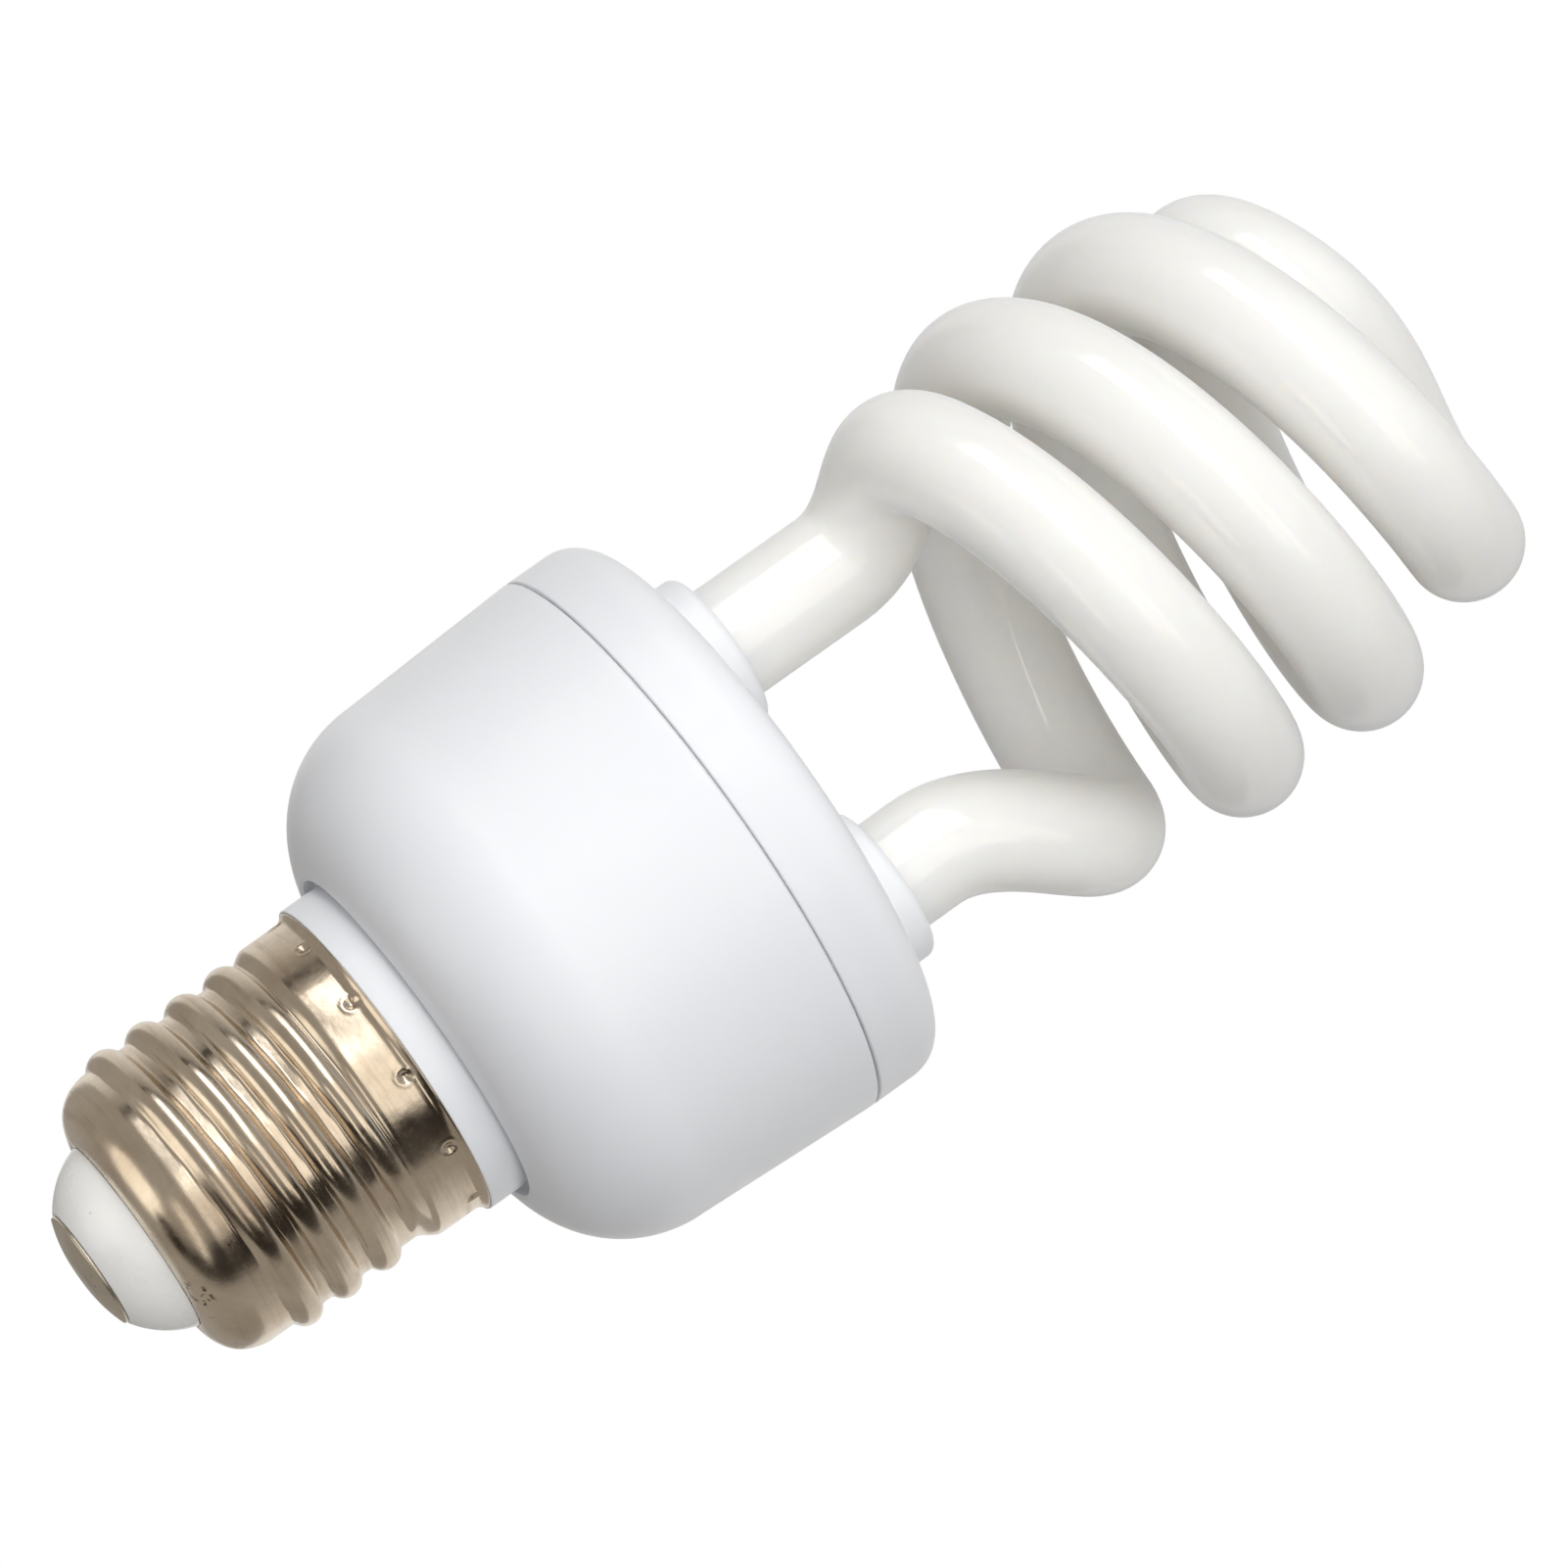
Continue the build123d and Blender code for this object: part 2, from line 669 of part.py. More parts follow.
bobbin_wall = 0.6
spool_x = choke_depth + 2 * slip + 2 * bobbin_wall
spool_y = middle_limb + 2 * slip + 2 * bobbin_wall
flange_y = limb_gap - 2 * slip
bobbin_top = choke_middle + window_height / 2 - slip
choke_leads = leads(
    [(choke_x + side * choke_pin_x, 0) for side in (-1, 1)], bobbin_top - bobbin_wall
)
with BuildPart() as choke_bobbin:
    with Locations((choke_x, 0, choke_middle)):
        Box(spool_x, spool_y, window_height - 2 * slip)
    for side in (-1, 1):
        level = choke_middle + side * (window_height / 2 - slip - bobbin_wall / 2)
        with Locations((choke_x, 0, level)):
            Box(choke_coil_width, flange_y, bobbin_wall)
    with Locations((choke_x, 0, choke_middle)):
        Box(choke_depth + 2 * slip, middle_limb + 2 * slip, window_height, mode=Mode.SUBTRACT)
    add(choke_leads)
save(choke_bobbin.part, "choke_bobbin")

with BuildPart() as choke_winding:
    with Locations((choke_x, 0, choke_middle)):
        Box(
            choke_coil_width - 4 * slip,
            flange_y - 4 * slip,
            window_height - 2 * bobbin_wall - 4 * slip,
        )
        fillet(edges().filter_by(Axis.Z), radius=part_gap)
        Box(spool_x + slip, spool_y + slip, window_height, mode=Mode.SUBTRACT)
save(choke_winding.part, "choke_winding")

# Drive transformer: ferrite ring and its winding, hung by the winding's ends
with BuildPart() as drive_ring:
    with BuildSketch(Plane.XY.offset(ring_z - ring_height / 2)):
        with Locations((ring_x, ring_y)):
            Circle(ring_outer_radius)
            Circle(ring_inner_radius, mode=Mode.SUBTRACT)
    extrude(amount=ring_height)
    fillet(edges().filter_by(GeomType.CIRCLE), radius=(ring_outer_radius - ring_inner_radius) * 0.45)
save(drive_ring.part, "drive_ring")

coil_points = []
coil_steps = coil_turns * 10
for step in range(coil_steps + 1):
    share = step / coil_steps
    around = math.radians(coil_start + (coil_end - coil_start) * share)
    roll = math.radians(90 + 360 * coil_turns * share)
    reach = ring_mean + coil_radius_r * math.cos(roll)
    height = ring_z + coil_radius_z * math.sin(roll)
    coil_points.append((ring_x + reach * math.cos(around), ring_y + reach * math.sin(around), height))
winding_radius = lead_radius * 0.8
winding_leads = leads(ring_spots, ring_z + coil_radius_z)
with BuildPart() as drive_winding:
    with BuildLine() as coil_line:
        Spline(*coil_points)
    with BuildSketch(Plane(coil_line.line @ 0, z_dir=coil_line.line % 0)):
        Circle(winding_radius)
    sweep(is_frenet=False)
    add(winding_leads)
save(drive_winding.part, "drive_winding")

# Filter inductor: drum core with two leads, and its winding
drum_low = body_top - drum_length
drum_spots = [(drum_x + side * drum_pitch / 2, drum_y) for side in (-1, 1)]
drum_leads = leads(drum_spots, body_top - drum_flange / 2)
with BuildPart() as filter_core:
    with BuildSketch(Plane.XY.offset(drum_low)):
        with Locations((drum_x, drum_y)):
            Circle(drum_radius)
    extrude(amount=drum_flange)
    with BuildSketch(Plane.XY.offset(drum_low)):
        with Locations((drum_x, drum_y)):
            Circle(drum_radius / 2)
    extrude(amount=drum_length)
    with BuildSketch(Plane.XY.offset(body_top - drum_flange)):
        with Locations((drum_x, drum_y)):
            Circle(drum_radius)
    extrude(amount=drum_flange)
    add(drum_leads)
save(filter_core.part, "filter_core")

with BuildPart() as filter_winding:
    with BuildSketch(Plane.XY.offset(drum_low + drum_flange + slip)):
        with Locations((drum_x, drum_y)):
            Circle(drum_radius - slip)
            Circle(drum_radius / 2 + slip, mode=Mode.SUBTRACT)
    extrude(amount=drum_length - 2 * drum_flange - 2 * slip)
save(filter_winding.part, "filter_winding")

# Transistors: flat-faced round bodies on three leads
for index, side in enumerate((-1, 1)):
    transistor_leads = leads(
        [(side * transistor_x + step * transistor_pitch, transistor_y) for step in (-1, 0, 1)],
        body_top - 2 * part_gap,
    )
    with BuildPart() as transistor:
        with BuildSketch(Plane.XY.offset(body_top - part_gap - transistor_height)):
            with Locations((side * transistor_x, transistor_y)):
                Circle(transistor_radius)
            with Locations((side * transistor_x, transistor_y + transistor_radius * 1.4)):
                Rectangle(2 * transistor_radius, transistor_radius, mode=Mode.SUBTRACT)
        extrude(amount=transistor_height)
        add(transistor_leads)
    save(transistor.part, f"transistor_{index + 1}")


def film_capacitor(center_x, center_y, height):
    """Moulded block on two leads."""
    spots = [(center_x + step * film_pitch / 2, center_y) for step in (-1, 1)]
    block_leads = leads(spots, body_top - part_gap)
    with BuildPart() as block:
        with Locations((center_x, center_y, body_top - height / 2)):
            Box(film_length, film_width, height)
        fillet(block.edges(), radius=lead_radius)
        add(block_leads)
    return block.part


save(film_capacitor(-film_x, film_y, film_height), "resonant_capacitor")
save(film_capacitor(film_x, film_y, film_height * 0.85), "coupling_capacitor")
save(film_capacitor(0, snubber_y, film_height * 0.7), "snubber_capacitor")

# Starting thermistor: upright disc on two leads
disc_z = body_top - disc_radius - part_gap
disc_leads = leads([(side * disc_pitch, disc_y) for side in (-1, 1)], disc_z)
with BuildPart() as start_thermistor:
    with Locations((0, disc_y, disc_z)):
        with Locations(Rotation(90, 0, 0)):
            Cylinder(disc_radius + lead_radius * 2, disc_thickness)
    fillet(edges().filter_by(GeomType.CIRCLE), radius=lead_radius)
    add(disc_leads)
save(start_thermistor.part, "start_thermistor")

# Lying pieces on the board's top: a round body on a lead that is bent down at both ends
for name, spot, turn, radius, length, pitch in lying_pieces:
    axis_z = board_top + radius + slip
    seat = Plane((spot[0], spot[1], axis_z), x_dir=Vector(1, 0, 0).rotate(Axis.Z, turn), z_dir=(0, 0, 1))
    across = Plane(seat.origin, x_dir=(0, 0, 1), z_dir=seat.x_dir)
    drop = board_bottom - axis_z
    lead_corners = [(-pitch / 2, 0, drop), (-pitch / 2, 0, 0), (pitch / 2, 0, 0), (pitch / 2, 0, drop)]
    lead_path = [seat.from_local_coords(corner) for corner in lead_corners]
    with BuildPart() as lying:
        with BuildLine():
            FilletPolyline(*lead_path, radius=2 * lead_radius)
        with BuildSketch(Plane(lead_path[0], z_dir=(0, 0, 1))):
            Circle(lead_radius)
        sweep()
        with BuildSketch(across.offset(-length / 2)):
            Circle(radius)
        extrude(amount=length)
        body_rims = edges().filter_by(GeomType.CIRCLE).filter_by(lambda e: e.radius > 2 * lead_radius)
        fillet(body_rims, radius=radius / 4)
    save(lying.part, name)

# Tube wires, from each seal to its wrap pin
wire_run_z = (seal_bottom + board_top) / 2
for index, (sx, sy) in enumerate(((-1, 1), (-1, -1), (1, 1), (1, -1))):
    start_x = sx * (leg_x - sy * seal_width / 4)
    side_x = sx * (pin_x - pin_size / 2 - tube_wire_radius - slip / 2)
    with BuildPart() as tube_lead:
        with BuildLine():
            FilletPolyline(
                (start_x, 0, seal_bottom),
                (start_x, 0, wire_run_z),
                (side_x, sy * pin_y, wire_run_z),
                (side_x, sy * pin_y, board_top + pin_height * 0.8),
                radius=2 * tube_wire_radius,
            )
        with BuildSketch(Plane((start_x, 0, seal_bottom), z_dir=(0, 0, -1))):
            Circle(tube_wire_radius)
        sweep()
    save(tube_lead.part, f"tube_lead_{index + 1}")

# Live wire, from the board to the groove beside the contact's shank
live_y = shank_radius + wire_radius
with BuildPart() as live_wire:
    with BuildLine():
        FilletPolyline(
            (0, live_y, contact_height + 2 * slip),
            (0, live_y, insulator_top + part_gap),
            (0, wire_y, insulator_top + part_gap + wire_y),
            (0, wire_y, board_top),
            radius=4 * wire_radius,
        )
    with BuildSketch(Plane((0, live_y, contact_height + 2 * slip), z_dir=(0, 0, 1))):
        Circle(wire_radius)
    sweep()
save(live_wire.part, "live_wire")

# Neutral wire, from the board round the spigot's end, folded up between spigot and shell
fold_y = thread_root_radius - shell_wall - slip / 2 - wire_radius
with BuildPart() as neutral_wire:
    with BuildLine():
        FilletPolyline(
            (0, -wire_y, board_top),
            (0, -wire_y, spigot_bottom - 3 * wire_radius),
            (0, -fold_y, spigot_bottom - 3 * wire_radius),
            (0, -fold_y, spigot_bottom + spigot_length / 3),
            radius=2 * wire_radius,
        )
    with BuildSketch(Plane((0, -wire_y, board_top), z_dir=(0, 0, -1))):
        Circle(wire_radius)
    sweep()
save(neutral_wire.part, "neutral_wire")
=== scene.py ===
import json
import math

import bmesh
import bpy
import numpy as np
from mathutils import Matrix, Vector


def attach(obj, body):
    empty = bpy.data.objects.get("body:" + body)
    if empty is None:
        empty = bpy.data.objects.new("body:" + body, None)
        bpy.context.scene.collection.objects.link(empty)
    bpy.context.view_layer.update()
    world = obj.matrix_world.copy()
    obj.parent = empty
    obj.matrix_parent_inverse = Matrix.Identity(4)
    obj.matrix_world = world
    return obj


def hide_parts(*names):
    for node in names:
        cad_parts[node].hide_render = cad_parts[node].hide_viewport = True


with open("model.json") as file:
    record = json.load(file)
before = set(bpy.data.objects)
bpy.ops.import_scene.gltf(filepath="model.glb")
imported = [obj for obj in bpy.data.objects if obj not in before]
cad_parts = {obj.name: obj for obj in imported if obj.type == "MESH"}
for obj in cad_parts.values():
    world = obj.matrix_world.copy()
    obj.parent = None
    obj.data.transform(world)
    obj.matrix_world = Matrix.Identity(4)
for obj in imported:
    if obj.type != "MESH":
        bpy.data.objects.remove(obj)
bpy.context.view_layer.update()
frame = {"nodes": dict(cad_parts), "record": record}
print("frame loaded:", len(frame["nodes"]), "nodes")

# the settings of pieces are in mm, and those of surfaces in metres
mm = 0.001
scene = bpy.context.scene
scene.view_settings.view_transform = "Standard"

# places where two pieces meet
shared = {
    "mouthRadius": 8.2,
    "mouthZ": 5.15,
    "rimZ": 28.216,
    "seamZ": 57.016,
    "seamRadius": 24.4,
    "capTop": 63.716,
    "legX": 11.0,
}


# camera: long lens, rolled so that the lamp lies along the picture's diagonal
cameraSettings = {
    "place": (0.4, -565.2, -45.8),
    "right": (0.578, -0.158, 0.800),
    "up": (-0.816, -0.112, 0.567),
    "lens": 171.93,
    "sensor": 36.0,
    "nearest": 0.05,
    "farthest": 20.0,
}


def addCamera(s):
    # camera axes in the lamp's frame: right, up, and back as their cross product
    right = Vector(s["right"]).normalized()
    up = Vector(s["up"])
    up = (up - right * up.dot(right)).normalized()
    back = right.cross(up)
    data = bpy.data.cameras.new("camera")
    data.sensor_width = s["sensor"]
    data.lens = s["lens"]
    data.clip_start = s["nearest"]
    data.clip_end = s["farthest"]
    camera = bpy.data.objects.new("camera", data)
    scene.collection.objects.link(camera)
    turn = Matrix((right, up, back)).transposed().to_4x4()
    camera.matrix_world = Matrix.Translation(Vector(s["place"]) * mm) @ turn
    scene.camera = camera


addCamera(cameraSettings)


# surfaces worked out as whole arrays
weldDistance = 1e-7


def gridObject(name, points, closedU=False, capEnds=False):
    # points[u, v] is a grid of places in mm; quads join neighbours, wrapping round v and, if closed, u
    nu, nv = points.shape[:2]
    co = points.reshape(-1, 3) * mm
    u = np.arange(nu if closedU else nu - 1)
    v = np.arange(nv)
    uu, vv = np.meshgrid(u, v, indexing="ij")
    un, vn = (uu + 1) % nu, (vv + 1) % nv
    quads = np.stack([uu * nv + vv, un * nv + vv, un * nv + vn, uu * nv + vn], -1).reshape(-1, 4)
    loops = quads.ravel()
    starts = np.arange(len(quads)) * 4
    if capEnds:
        # the first and the last ring each become one fan round a middle point
        centres = points[[0, -1]].mean(1) * mm
        co = np.concatenate([co, centres])
        k = np.arange(nv)
        low = np.stack([np.full(nv, nu * nv), k, (k + 1) % nv], -1)
        top = (nu - 1) * nv
        high = np.stack([np.full(nv, nu * nv + 1), top + (k + 1) % nv, top + k], -1)
        fans = np.concatenate([low, high]).ravel()
        starts = np.concatenate([starts, len(loops) + np.arange(2 * nv) * 3])
        loops = np.concatenate([loops, fans])
    mesh = bpy.data.meshes.new(name)
    mesh.vertices.add(len(co))
    mesh.vertices.foreach_set("co", co.ravel().astype(np.float32))
    mesh.loops.add(len(loops))
    mesh.loops.foreach_set("vertex_index", loops.astype(np.int32))
    mesh.polygons.add(len(starts))
    mesh.polygons.foreach_set("loop_start", starts.astype(np.int32))
    mesh.update(calc_edges=True)
    mesh.validate()
    bm = bmesh.new()
    bm.from_mesh(mesh)
    bmesh.ops.remove_doubles(bm, verts=bm.verts, dist=weldDistance)
    bmesh.ops.recalc_face_normals(bm, faces=bm.faces)
    bm.to_mesh(mesh)
    bm.free()
    mesh.shade_smooth()
    obj = bpy.data.objects.new(name, mesh)
    scene.collection.objects.link(obj)
    return obj


def roundedLoop(corners, step, arcSteps=7, closed=True):
    # an outline: each corner (x, y, radius) becomes an arc, and straights are cut into even steps
    nearlyStraight, mostOfSide = 0.01, 0.49
    places = np.array([corner[:2] for corner in corners], float)
    n = len(places)
    arcs = []
    for i in range(n):
        p, a, b = places[i], places[i - 1], places[(i + 1) % n]
        da, db = a - p, b - p
        la, lb = np.linalg.norm(da), np.linalg.norm(db)
        da, db = da / la, db / lb
        r = corners[i][2]
        half = math.acos(max(-1.0, min(1.0, float(da @ db)))) / 2
        if r <= 0 or half > math.pi / 2 - nearlyStraight:
            arcs.append(p[None, :])
            continue
        reach = min(r / math.tan(half), mostOfSide * la, mostOfSide * lb)
        r = reach * math.tan(half)
        t = np.linspace(0, 1, arcSteps)[:, None]
        start, stop = p + da * reach, p + db * reach
        middle = p + (da + db) / np.linalg.norm(da + db) * (r / math.sin(half))
        ra, rb = start - middle, stop - middle
        turn = math.pi - 2 * half
        arcs.append(middle + (np.sin((1 - t) * turn) * ra + np.sin(t * turn) * rb) / math.sin(turn))
    line = []
    for i, arc in enumerate(arcs):
        line.append(arc)
        if i == n - 1 and not closed:
            break
        here, there = arc[-1], arcs[(i + 1) % n][0]
        parts = int(math.ceil(np.linalg.norm(there - here) / step))
        if parts > 1:
            t = np.linspace(0, 1, parts + 1)[1:-1, None]
            line.append(here + (there - here) * t)
    return np.concatenate(line)


def turned(name, outline, around, centre=(0.0, 0.0)):
    # each outline point (radius, height) is carried round the vertical axis through centre; an outline
    # that starts on the axis ends on it too, and is closed there by its two poles
    closed = outline[0, 0] > 0
    angle = np.linspace(0, 2 * np.pi, around, endpoint=False)
    r, z = outline[:, 0][:, None], outline[:, 1][:, None]
    x, y = centre[0] + r * np.cos(angle), centre[1] + r * np.sin(angle)
    return gridObject(name, np.stack([x, y, z + 0 * angle], -1), closedU=closed)


def arcPoints(cr, cz, radius, first, last, count):
    # points on an arc in the half section, from the first angle to the last in degrees
    a = np.radians(np.linspace(first, last, count))
    return np.stack([cr + radius * np.cos(a), cz + radius * np.sin(a)], -1)


def bulged(first, last, bulge, t):
    # points from the first place to the last at the shares t, swelling out by bulge at the middle
    chord = last - first
    normal = np.array([chord[1], -chord[0]]) / np.linalg.norm(chord)
    return first + chord * t + normal * bulge * 4 * t * (1 - t)


def alongLine(line, count):
    # count points at even distances along a line
    lengths = np.concatenate([[0], np.cumsum(np.linalg.norm(np.diff(line, axis=0), axis=1))])
    even = np.linspace(0, lengths[-1], count)
    return np.stack([np.interp(even, lengths, values) for values in line.T], -1)


# materials; a noise is (scale, detail, roughness, distortion), a band (low, high), a bump (strength,
# depth) and the place of rust (centre, radius)
class Nodes:
    def __init__(self, tree):
        self.tree = tree
        self.tree.nodes.clear()

    def add(self, kind, inputs=None, **options):
        node = self.tree.nodes.new(kind)
        for key, value in options.items():
            setattr(node, key, value)
        for key, value in (inputs or {}).items():
            if isinstance(value, bpy.types.NodeSocket):
                self.tree.links.new(value, node.inputs[key])
            else:
                node.inputs[key].default_value = value
        return node

    def noise(self, where, scale, detail, roughness=0.55, distortion=0.0):
        inputs = {"Vector": where, "Scale": scale, "Detail": detail}
        inputs.update({"Roughness": roughness, "Distortion": distortion})
        return self.add("ShaderNodeTexNoise", inputs).outputs[0]

    def spread(self, value, low, high, toLow=0.0, toHigh=1.0):
        inputs = {"Value": value, "From Min": low, "From Max": high, "To Min": toLow, "To Max": toHigh}
        return self.add("ShaderNodeMapRange", inputs).outputs[0]

    def blend(self, factor, a, b):
        # from a to b, each a colour or a socket
        inputs = {0: factor}
        for socket, colour in ((6, a), (7, b)):
            inputs[socket] = (*colour, 1) if isinstance(colour, tuple) else colour
        return self.add("ShaderNodeMix", inputs, data_type="RGBA").outputs[2]

    def math(self, operation, a, b=0.0):
        return self.add("ShaderNodeMath", {0: a, 1: b}, operation=operation).outputs[0]

    def times(self, a, b):
        return self.math("MULTIPLY", a, b)

    def patch(self, where, centre, radius, softness=1.5):
        # 1 within the radius of the centre, falling softly to 0 outside it
        gap = self.add("ShaderNodeVectorMath", {0: where, 1: centre}, operation="DISTANCE")
        return self.spread(gap.outputs["Value"], radius, radius * softness, 1.0, 0.0)

    def sector(self, where, first, last, softness=0.08):
        # 1 between two angles round the upright axis, counted in degrees from the camera's side
        axes = self.add("ShaderNodeSeparateXYZ", {"Vector": where}).outputs
        turn = self.math("ARCTAN2", axes["X"], self.times(axes["Y"], -1.0))
        middle, half = math.radians((first + last) / 2), math.radians((last - first) / 2)
        gap = self.math("ABSOLUTE", self.math("SUBTRACT", turn, middle))
        return self.spread(gap, half, half + softness, 1.0, 0.0)

    def ridge(self, value, middle, half):
        # 1 within half a width of the middle, falling to 0 over as much again
        gap = self.math("ABSOLUTE", self.math("SUBTRACT", value, middle))
        return self.spread(gap, half, half * 2, 1.0, 0.0)

    def bump(self, height, strength, distance, normal=None):
        inputs = {"Height": height, "Strength": strength, "Distance": distance}
        if normal is not None:
            inputs["Normal"] = normal
        return self.add("ShaderNodeBump", inputs).outputs[0]


def newMaterial(name):
    material = bpy.data.materials.new(name)
    material.use_nodes = True
    nodes = Nodes(material.node_tree)
    where = nodes.add("ShaderNodeTexCoord").outputs["Object"]
    shader = nodes.add("ShaderNodeBsdfPrincipled")
    nodes.add("ShaderNodeOutputMaterial", {"Surface": shader.outputs[0]})
    return material, nodes, where, shader


def link(nodes, source, shader, socket):
    nodes.tree.links.new(source, shader.inputs[socket])


def setInputs(shader, values):
    for socket, value in values.items():
        shader.inputs[socket].default_value = value


def mouldedPlastic(name, s):
    # even pale colour with faint cloudiness, sparse specks, and a fine moulded skin
    material, n, where, shader = newMaterial(name)
    tone = n.blend(n.spread(n.noise(where, *s["cloudNoise"]), *s["cloudBand"]), s["colour"], s["shade"])
    speck = n.spread(n.noise(where, *s["speckNoise"]), *s["speckBand"])
    tone = n.blend(n.times(speck, s["specks"]), tone, s["speckColour"])
    link(n, tone, shader, "Base Color")
    smoother, rougher = s["roughChange"]
    smear = n.noise(where, *s["smearNoise"])
    rough = n.spread(smear, *s["smearBand"], s["rough"] - smoother, s["rough"] + rougher)
    link(n, rough, shader, "Roughness")
    waves = n.bump(n.noise(where, *s["waveNoise"]), s["waves"], s["waveDepth"])
    link(n, n.bump(n.noise(where, *s["skinNoise"]), s["skin"], s["skinDepth"], waves), shader, "Normal")
    setInputs(shader, s["inputs"])
    return material


def coatedGlass(name, s):
    # clear glass skin over a powder coating: matt warm white below, hard bright reflections on top
    material, n, where, shader = newMaterial(name)
    tone = n.blend(n.spread(n.noise(where, *s["cloudNoise"]), *s["cloudBand"]), s["colour"], s["shade"])
    link(n, tone, shader, "Base Color")
    rim = n.add("ShaderNodeLayerWeight", {"Blend": 0.5}).outputs["Facing"]
    link(n, n.spread(rim, *s["rimBand"], s["gloss"], 0.0), shader, "Coat Weight")
    matt = n.noise(where, *s["mattNoise"])
    link(n, n.spread(matt, *s["mattBand"], *s["mattRough"]), shader, "Roughness")
    setInputs(shader, s["inputs"])
    return material


def platedMetal(name, s):
    # nickel plate: champagne tone that drifts to brown, grain, worn rolling marks, pits and rust specks
    material, n, where, shader = newMaterial(name)
    tone = n.blend(n.spread(n.noise(where, *s["driftNoise"]), *s["driftBand"]), s["colour"], s["shade"])
    drawn = n.add("ShaderNodeMapping", {"Vector": where, "Scale": s["drawn"]}).outputs[0]
    marks = n.noise(drawn, *s["marksNoise"])
    tone = n.blend(n.spread(marks, *s["marksBand"], 0.0, s["streaks"]), tone, s["brown"])
    pit = n.spread(n.noise(where, *s["pitNoise"]), *s["pitBand"])
    area = n.spread(n.noise(where, *s["pitAreaNoise"]), *s["pitAreaBand"])
    tone = n.blend(n.times(n.times(pit, area), s["pits"]), tone, s["stain"])
    if "rustPlace" in s:
        rust = n.spread(n.noise(where, *s["rustNoise"]), *s["rustBand"])
        tone = n.blend(n.times(n.patch(where, *s["rustPlace"]), rust), tone, s["stain"])
    link(n, tone, shader, "Base Color")
    smear = n.noise(where, *s["smearNoise"])
    rough = n.spread(smear, *s["smearBand"], s["rough"], s["rough"] + s["smearRough"])
    worn = n.spread(marks, *s["wornBand"], 0.0, s["wornRough"])
    link(n, n.math("ADD", rough, worn), shader, "Roughness")
    waves = n.bump(n.noise(where, *s["dentNoise"]), s["dents"], s["dentDepth"])
    peel = n.bump(n.noise(where, *s["peelNoise"]), s["peel"], s["peelDepth"], waves)
    fine = n.bump(n.noise(where, *s["grainNoise"]), *s["grainBump"], peel)
    link(n, n.bump(marks, *s["marksBump"], fine), shader, "Normal")
    shader.inputs["Metallic"].default_value = 1.0
    return material


def plainFinish(name, s):
    # small inside pieces: colour with grain, and roughness that varies with it
    material, n, where, shader = newMaterial(name)
    grain = n.noise(where, s["grain"], s["detail"])
    dark = tuple(c * s["darker"] for c in s["colour"])
    link(n, n.blend(n.spread(grain, *s["toneBand"]), s["colour"], dark), shader, "Base Color")
    change = s["roughChange"]
    rough = n.spread(grain, *s["roughBand"], s["rough"] - change, s["rough"] + change)
    link(n, rough, shader, "Roughness")
    link(n, n.bump(grain, s["bump"], s["depth"]), shader, "Normal")
    shader.inputs["Metallic"].default_value = s["metal"]
    return material


plastic = {
    "cloudNoise": (60.0, 3.0),
    "cloudBand": (0.35, 0.65),
    "speckNoise": (900.0, 1.0),
    "speckBand": (0.79, 0.82),
    "speckColour": (0.25, 0.22, 0.18),
    "smearNoise": (240.0, 5.0),
    "smearBand": (0.3, 0.7),
    "roughChange": (0.05, 0.06),
    "waveNoise": (45.0, 1.0),
    "waveDepth": 0.0004,
    "skinNoise": (1500.0, 2.0),
    "skin": 0.05,
    "skinDepth": 0.00005,
}
housingFinish = mouldedPlastic(
    "mouldedHousing",
    {
        **plastic,
        "colour": (0.84, 0.853, 0.873),
        "shade": (0.83, 0.843, 0.866),
        "rough": 0.34,
        "specks": 0.0,
        "waves": 0.0,
        "inputs": {
            "IOR": 1.5,
            "Specular IOR Level": 0.5,
            "Subsurface Weight": 0.15,
            "Subsurface Radius": (0.0012, 0.0011, 0.001),
            "Subsurface Scale": 1.0,
        },
    },
)
insulatorFinish = mouldedPlastic(
    "pressedInsulator",
    {
        **plastic,
        "colour": (0.96, 0.95, 0.92),
        "shade": (0.94, 0.93, 0.89),
        "rough": 0.26,
        "specks": 0.4,
        "waves": 0.04,
        "inputs": {"IOR": 1.5, "Specular IOR Level": 0.5, "Coat Weight": 0.35, "Coat Roughness": 0.06},
    },
)
tubeFinish = coatedGlass(
    "powderedGlass",
    {
        "cloudNoise": (70.0, 4.0, 0.6),
        "cloudBand": (0.3, 0.7),
        "colour": (0.92, 0.915, 0.90),
        "shade": (0.905, 0.895, 0.875),
        "gloss": 1.0,
        "rimBand": (0.55, 0.85),
        "mattNoise": (55.0, 2.0),
        "mattBand": (0.3, 0.7),
        "mattRough": (0.5, 0.62),
        "inputs": {
            "Specular IOR Level": 0.15,
            "Coat Tint": (0.99, 0.985, 0.97, 1),
            "Coat Roughness": 0.015,
            "Coat IOR": 1.55,
            "Subsurface Weight": 0.6,
            "Subsurface Radius": (0.006, 0.0049, 0.0036),
            "Subsurface Scale": 1.0,
        },
    },
)
